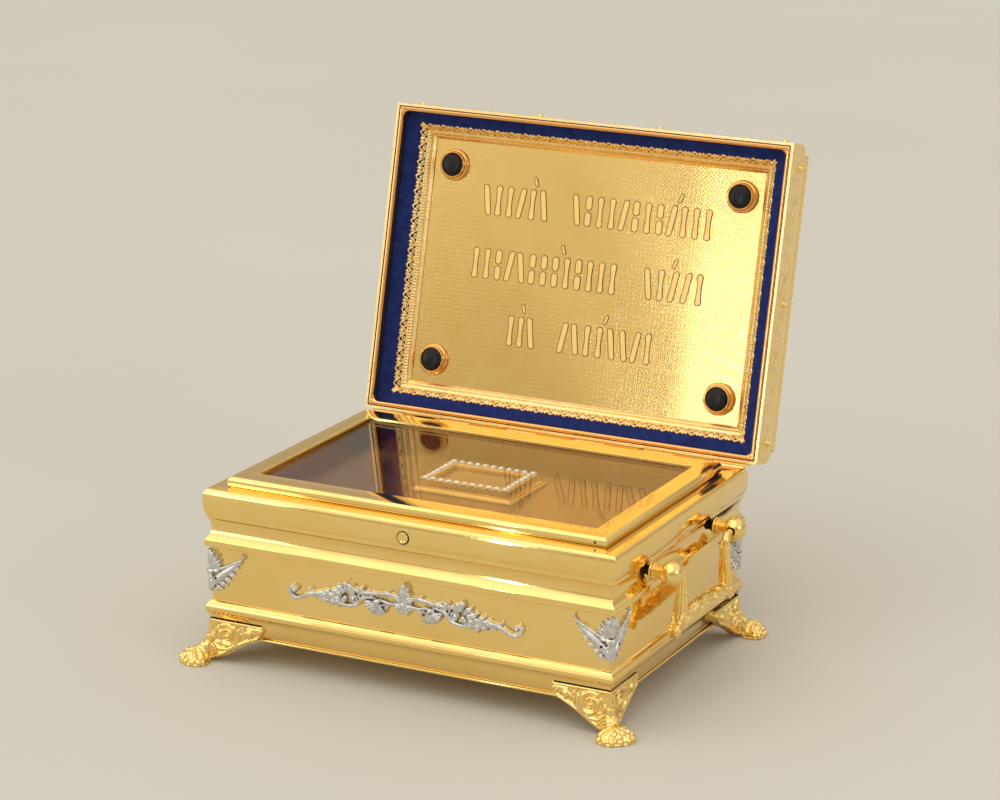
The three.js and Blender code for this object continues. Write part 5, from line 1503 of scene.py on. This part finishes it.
# carved border strips on the lid's top
def top_strips():
    # closed section as (inset, n, carve): walks round the strip
    sec = curve([(0.5, -33.2), (0.3, -32.6), (0.3, -29.8), (0.6, -29.1)], 0.4)
    pts = [(e, n, 1.0) for e, n in sec]
    pts += [(3.1, -28.5, 0), (3.1, -26.3, 0), (10.0, -26.3, 0), (10.0, -28.4, 0)]
    pts += [(e, n, 0.6) for e, n in curve([(13.3, -29.0), (13.5, -29.6), (13.5, -31.6), (13.2, -32.2)], 0.5)]
    pts += [(e, n, 1.0) for e, n in curve([(9.5, -33.5), (7.0, -33.6), (4.0, -33.6), (1.2, -33.55)], 0.5)]
    P = np.array(pts)
    for name, across, side in (("back", True, 0), ("right", False, 1), ("front", True, 2), ("left", False, 3)):
        e, n, cv = P[:, 0], P[:, 1], P[:, 2]
        hu, hv = LX, LC - 7.5
        half = (hu if across else hv) - e
        tau = np.linspace(-1, 1, int(2 * half[0] / 0.6))
        T = tau[:, None] * (half[None, :] - (0.2 if across else 0.2))
        k = np.abs(np.sin(PI * T / 4.6)) ** 0.6
        k2 = np.abs(np.sin(PI * T / 4.6 + 2.2 * (n[None, :] + 31) / 4.0))
        d = cv[None, :] * (0.55 * k * k2 - 0.25)
        # push along the outward direction of the section
        ce, cn = 7.0, -30.5
        de, dn = e - ce, n - cn
        L = np.hypot(de, dn)
        E = e[None, :] + d * (de / L)[None, :]
        N = n[None, :] + d * (dn / L)[None, :]
        N = np.maximum(N, -33.6)
        E = np.maximum(E, 0.35)
        if side == 0:
            V = np.stack([-T, 7.5 + E, N], 2)
        elif side == 2:
            V = np.stack([T, LV - 7.5 - E, N], 2)
        elif side == 1:
            V = np.stack([hu - E, LC - T, N], 2)
        else:
            V = np.stack([-hu + E, LC + T, N], 2)
        g = Geo()
        nt, m = T.shape
        g.add(V.reshape(-1, 3), grid_faces(nt, m, close_v=True))
        g.f.append(list(range(m))[::-1])
        g.f.append([(nt - 1) * m + q for q in range(m)])
        make("lid_strip_" + name, g, M_CAST, "lid", ["lid_top_strip_" + name], sharp=48, lid=True)


top_strips()

# ======== end of fittings ========
# ---------------------------------------------------------------- camera
F_PX = 3230.34
YAW, PITCH, ROLL = math.radians(26.18), math.radians(15.68), math.radians(0.71)
fwd = Vector((-math.sin(YAW) * math.cos(PITCH), math.cos(YAW) * math.cos(PITCH), -math.sin(PITCH)))
right = Vector((math.cos(YAW), math.sin(YAW), 0))
up = right.cross(fwd)
r2 = right * math.cos(ROLL) + up * math.sin(ROLL)
u2 = -right * math.sin(ROLL) + up * math.cos(ROLL)
cam_data = bpy.data.cameras.new("camera")
cam_data.sensor_width = 36
cam_data.lens = F_PX * 36 / 1000
cam_data.clip_start, cam_data.clip_end = 0.05, 40
cam = bpy.data.objects.new("camera", cam_data)
bpy.context.scene.collection.objects.link(cam)
loc = to_world([[936.47, -1874.20, 643.41]])[0]
cam.matrix_world = Matrix(
    (
        (r2.x, u2.x, -fwd.x, loc[0]),
        (r2.y, u2.y, -fwd.y, loc[1]),
        (r2.z, u2.z, -fwd.z, loc[2]),
        (0, 0, 0, 1),
    )
)
bpy.context.scene.camera = cam

# ----------------------------------------------------------------- stage
def stage_mat():
    m, nt, b = new_mat("stage")
    n1 = noise(nt, 1.5, 2, 0.5)
    nt.links.new(mix_colour(nt, ramp(nt, n1.outputs["Fac"], 0.3, 0.7, 0, 1), srgb(208, 205, 195), srgb(205, 202, 192)), b.inputs["Base Color"])
    b.inputs["Roughness"].default_value = 0.9
    b.inputs["Specular IOR Level"].default_value = 0.1
    return m


vv, ff = [], []
for gy in range(9):
    for gx in range(9):
        vv.append((-24 + 6 * gx, -24 + 6 * gy, 0))
for gy in range(8):
    for gx in range(8):
        ff.append((gy * 9 + gx, gy * 9 + gx + 1, gy * 9 + gx + 10, gy * 9 + gx + 9))
me = bpy.data.meshes.new("stage_floor")
me.from_pydata(vv, [], ff)
me.materials.append(stage_mat())
floor = bpy.data.objects.new("stage_floor", me)
bpy.context.scene.collection.objects.link(floor)


def area(name, loc, target, size, power, colour=(1, 1, 1), spread=None):
    d = bpy.data.lights.new(name, "AREA")
    d.shape = "RECTANGLE"
    d.size, d.size_y = size
    d.energy = power
    d.color = colour
    if spread:
        d.spread = spread
    o = bpy.data.objects.new(name, d)
    o.location = loc
    o.rotation_mode = "QUATERNION"
    o.rotation_quaternion = (Vector(target) - Vector(loc)).to_track_quat("-Z", "Y")
    bpy.context.scene.collection.objects.link(o)
    return o


def sun(name, direction, strength, angle, colour):
    d = bpy.data.lights.new(name, "SUN")
    d.energy = strength
    d.angle = math.radians(angle)
    d.color = colour
    o = bpy.data.objects.new(name, d)
    o.rotation_mode = "QUATERNION"
    o.rotation_quaternion = Vector(direction).to_track_quat("-Z", "Y")
    bpy.context.scene.collection.objects.link(o)
    return o


sun("key", (0.55, 0.75, -1.25), 0.78, 85, (1.0, 0.96, 0.90))
area("strip_left", (-2.5, -2.4, 0.75), (0.05, 0.0, 0.2), (1.1, 0.9), 7, (1.0, 0.97, 0.92))
area("strip_plate", (-0.80, -2.85, 0.66), (0.10, 0.1, 0.25), (0.10, 0.8), 3.4, (0.72, 0.80, 1.0))
# gold light thrown down on the floor by the polished base
area("gold_bounce", (0.0, ORIGIN[1] * 0.001, 0.022), (0.0, ORIGIN[1] * 0.001, 0.0), (0.22, 0.13), 0.85, (1.0, 0.50, 0.17))
area("card_right", (2.6, -0.6, 1.2), (0.0, 0.0, 0.1), (1.2, 1.0), 7, (1.0, 0.95, 0.88))

world = bpy.data.worlds.new("world")
bpy.context.scene.world = world
world.use_nodes = True
wn = world.node_tree
bg = wn.nodes["Background"]
wtc = wn.nodes.new("ShaderNodeTexCoord")
wsep = wn.nodes.new("ShaderNodeSeparateXYZ")
wn.links.new(wtc.outputs["Generated"], wsep.inputs["Vector"])
wramp = wn.nodes.new("ShaderNodeValToRGB")
wn.links.new(wsep.outputs["Z"], wramp.inputs["Fac"])
els = wramp.color_ramp.elements
els[0].position, els[0].color = 0.0, (0.52, 0.47, 0.38, 1)
els[1].position, els[1].color = 1.0, (1.0, 0.97, 0.92, 1)
for pos, col in ((0.12, (0.60, 0.55, 0.46, 1)), (0.30, (0.46, 0.41, 0.33, 1)), (0.55, (0.86, 0.82, 0.75, 1))):
    q = els.new(pos)
    q.color = col
wn.links.new(wramp.outputs["Color"], bg.inputs["Color"])
bg.inputs["Strength"].default_value = 0.98

sc = bpy.context.scene
sc.view_settings.view_transform = "Standard"
sc.view_settings.look = "None"
sc.view_settings.exposure = 0.0
sc.view_settings.gamma = 1.0

GOLD_NODES = {"cast_gold": M_CAST, "polished_gold": M_POLISH, "engraved_gold": M_FRIEZE, "silver": M_SILVER, "velvet": M_VELVET, "black_dome": M_DOME, "tray_gold": M_TRAY, "glass": M_GLASS}
slots = {s["node"]: s["material_slot"] for s in frame["record"]["subparts"]}
for name, ob in NODES.items():
    if name in ("glass_pane", "relic_tray"):
        continue
    ob.data.materials.clear()
    ob.data.materials.append(GOLD_NODES[slots[name]])
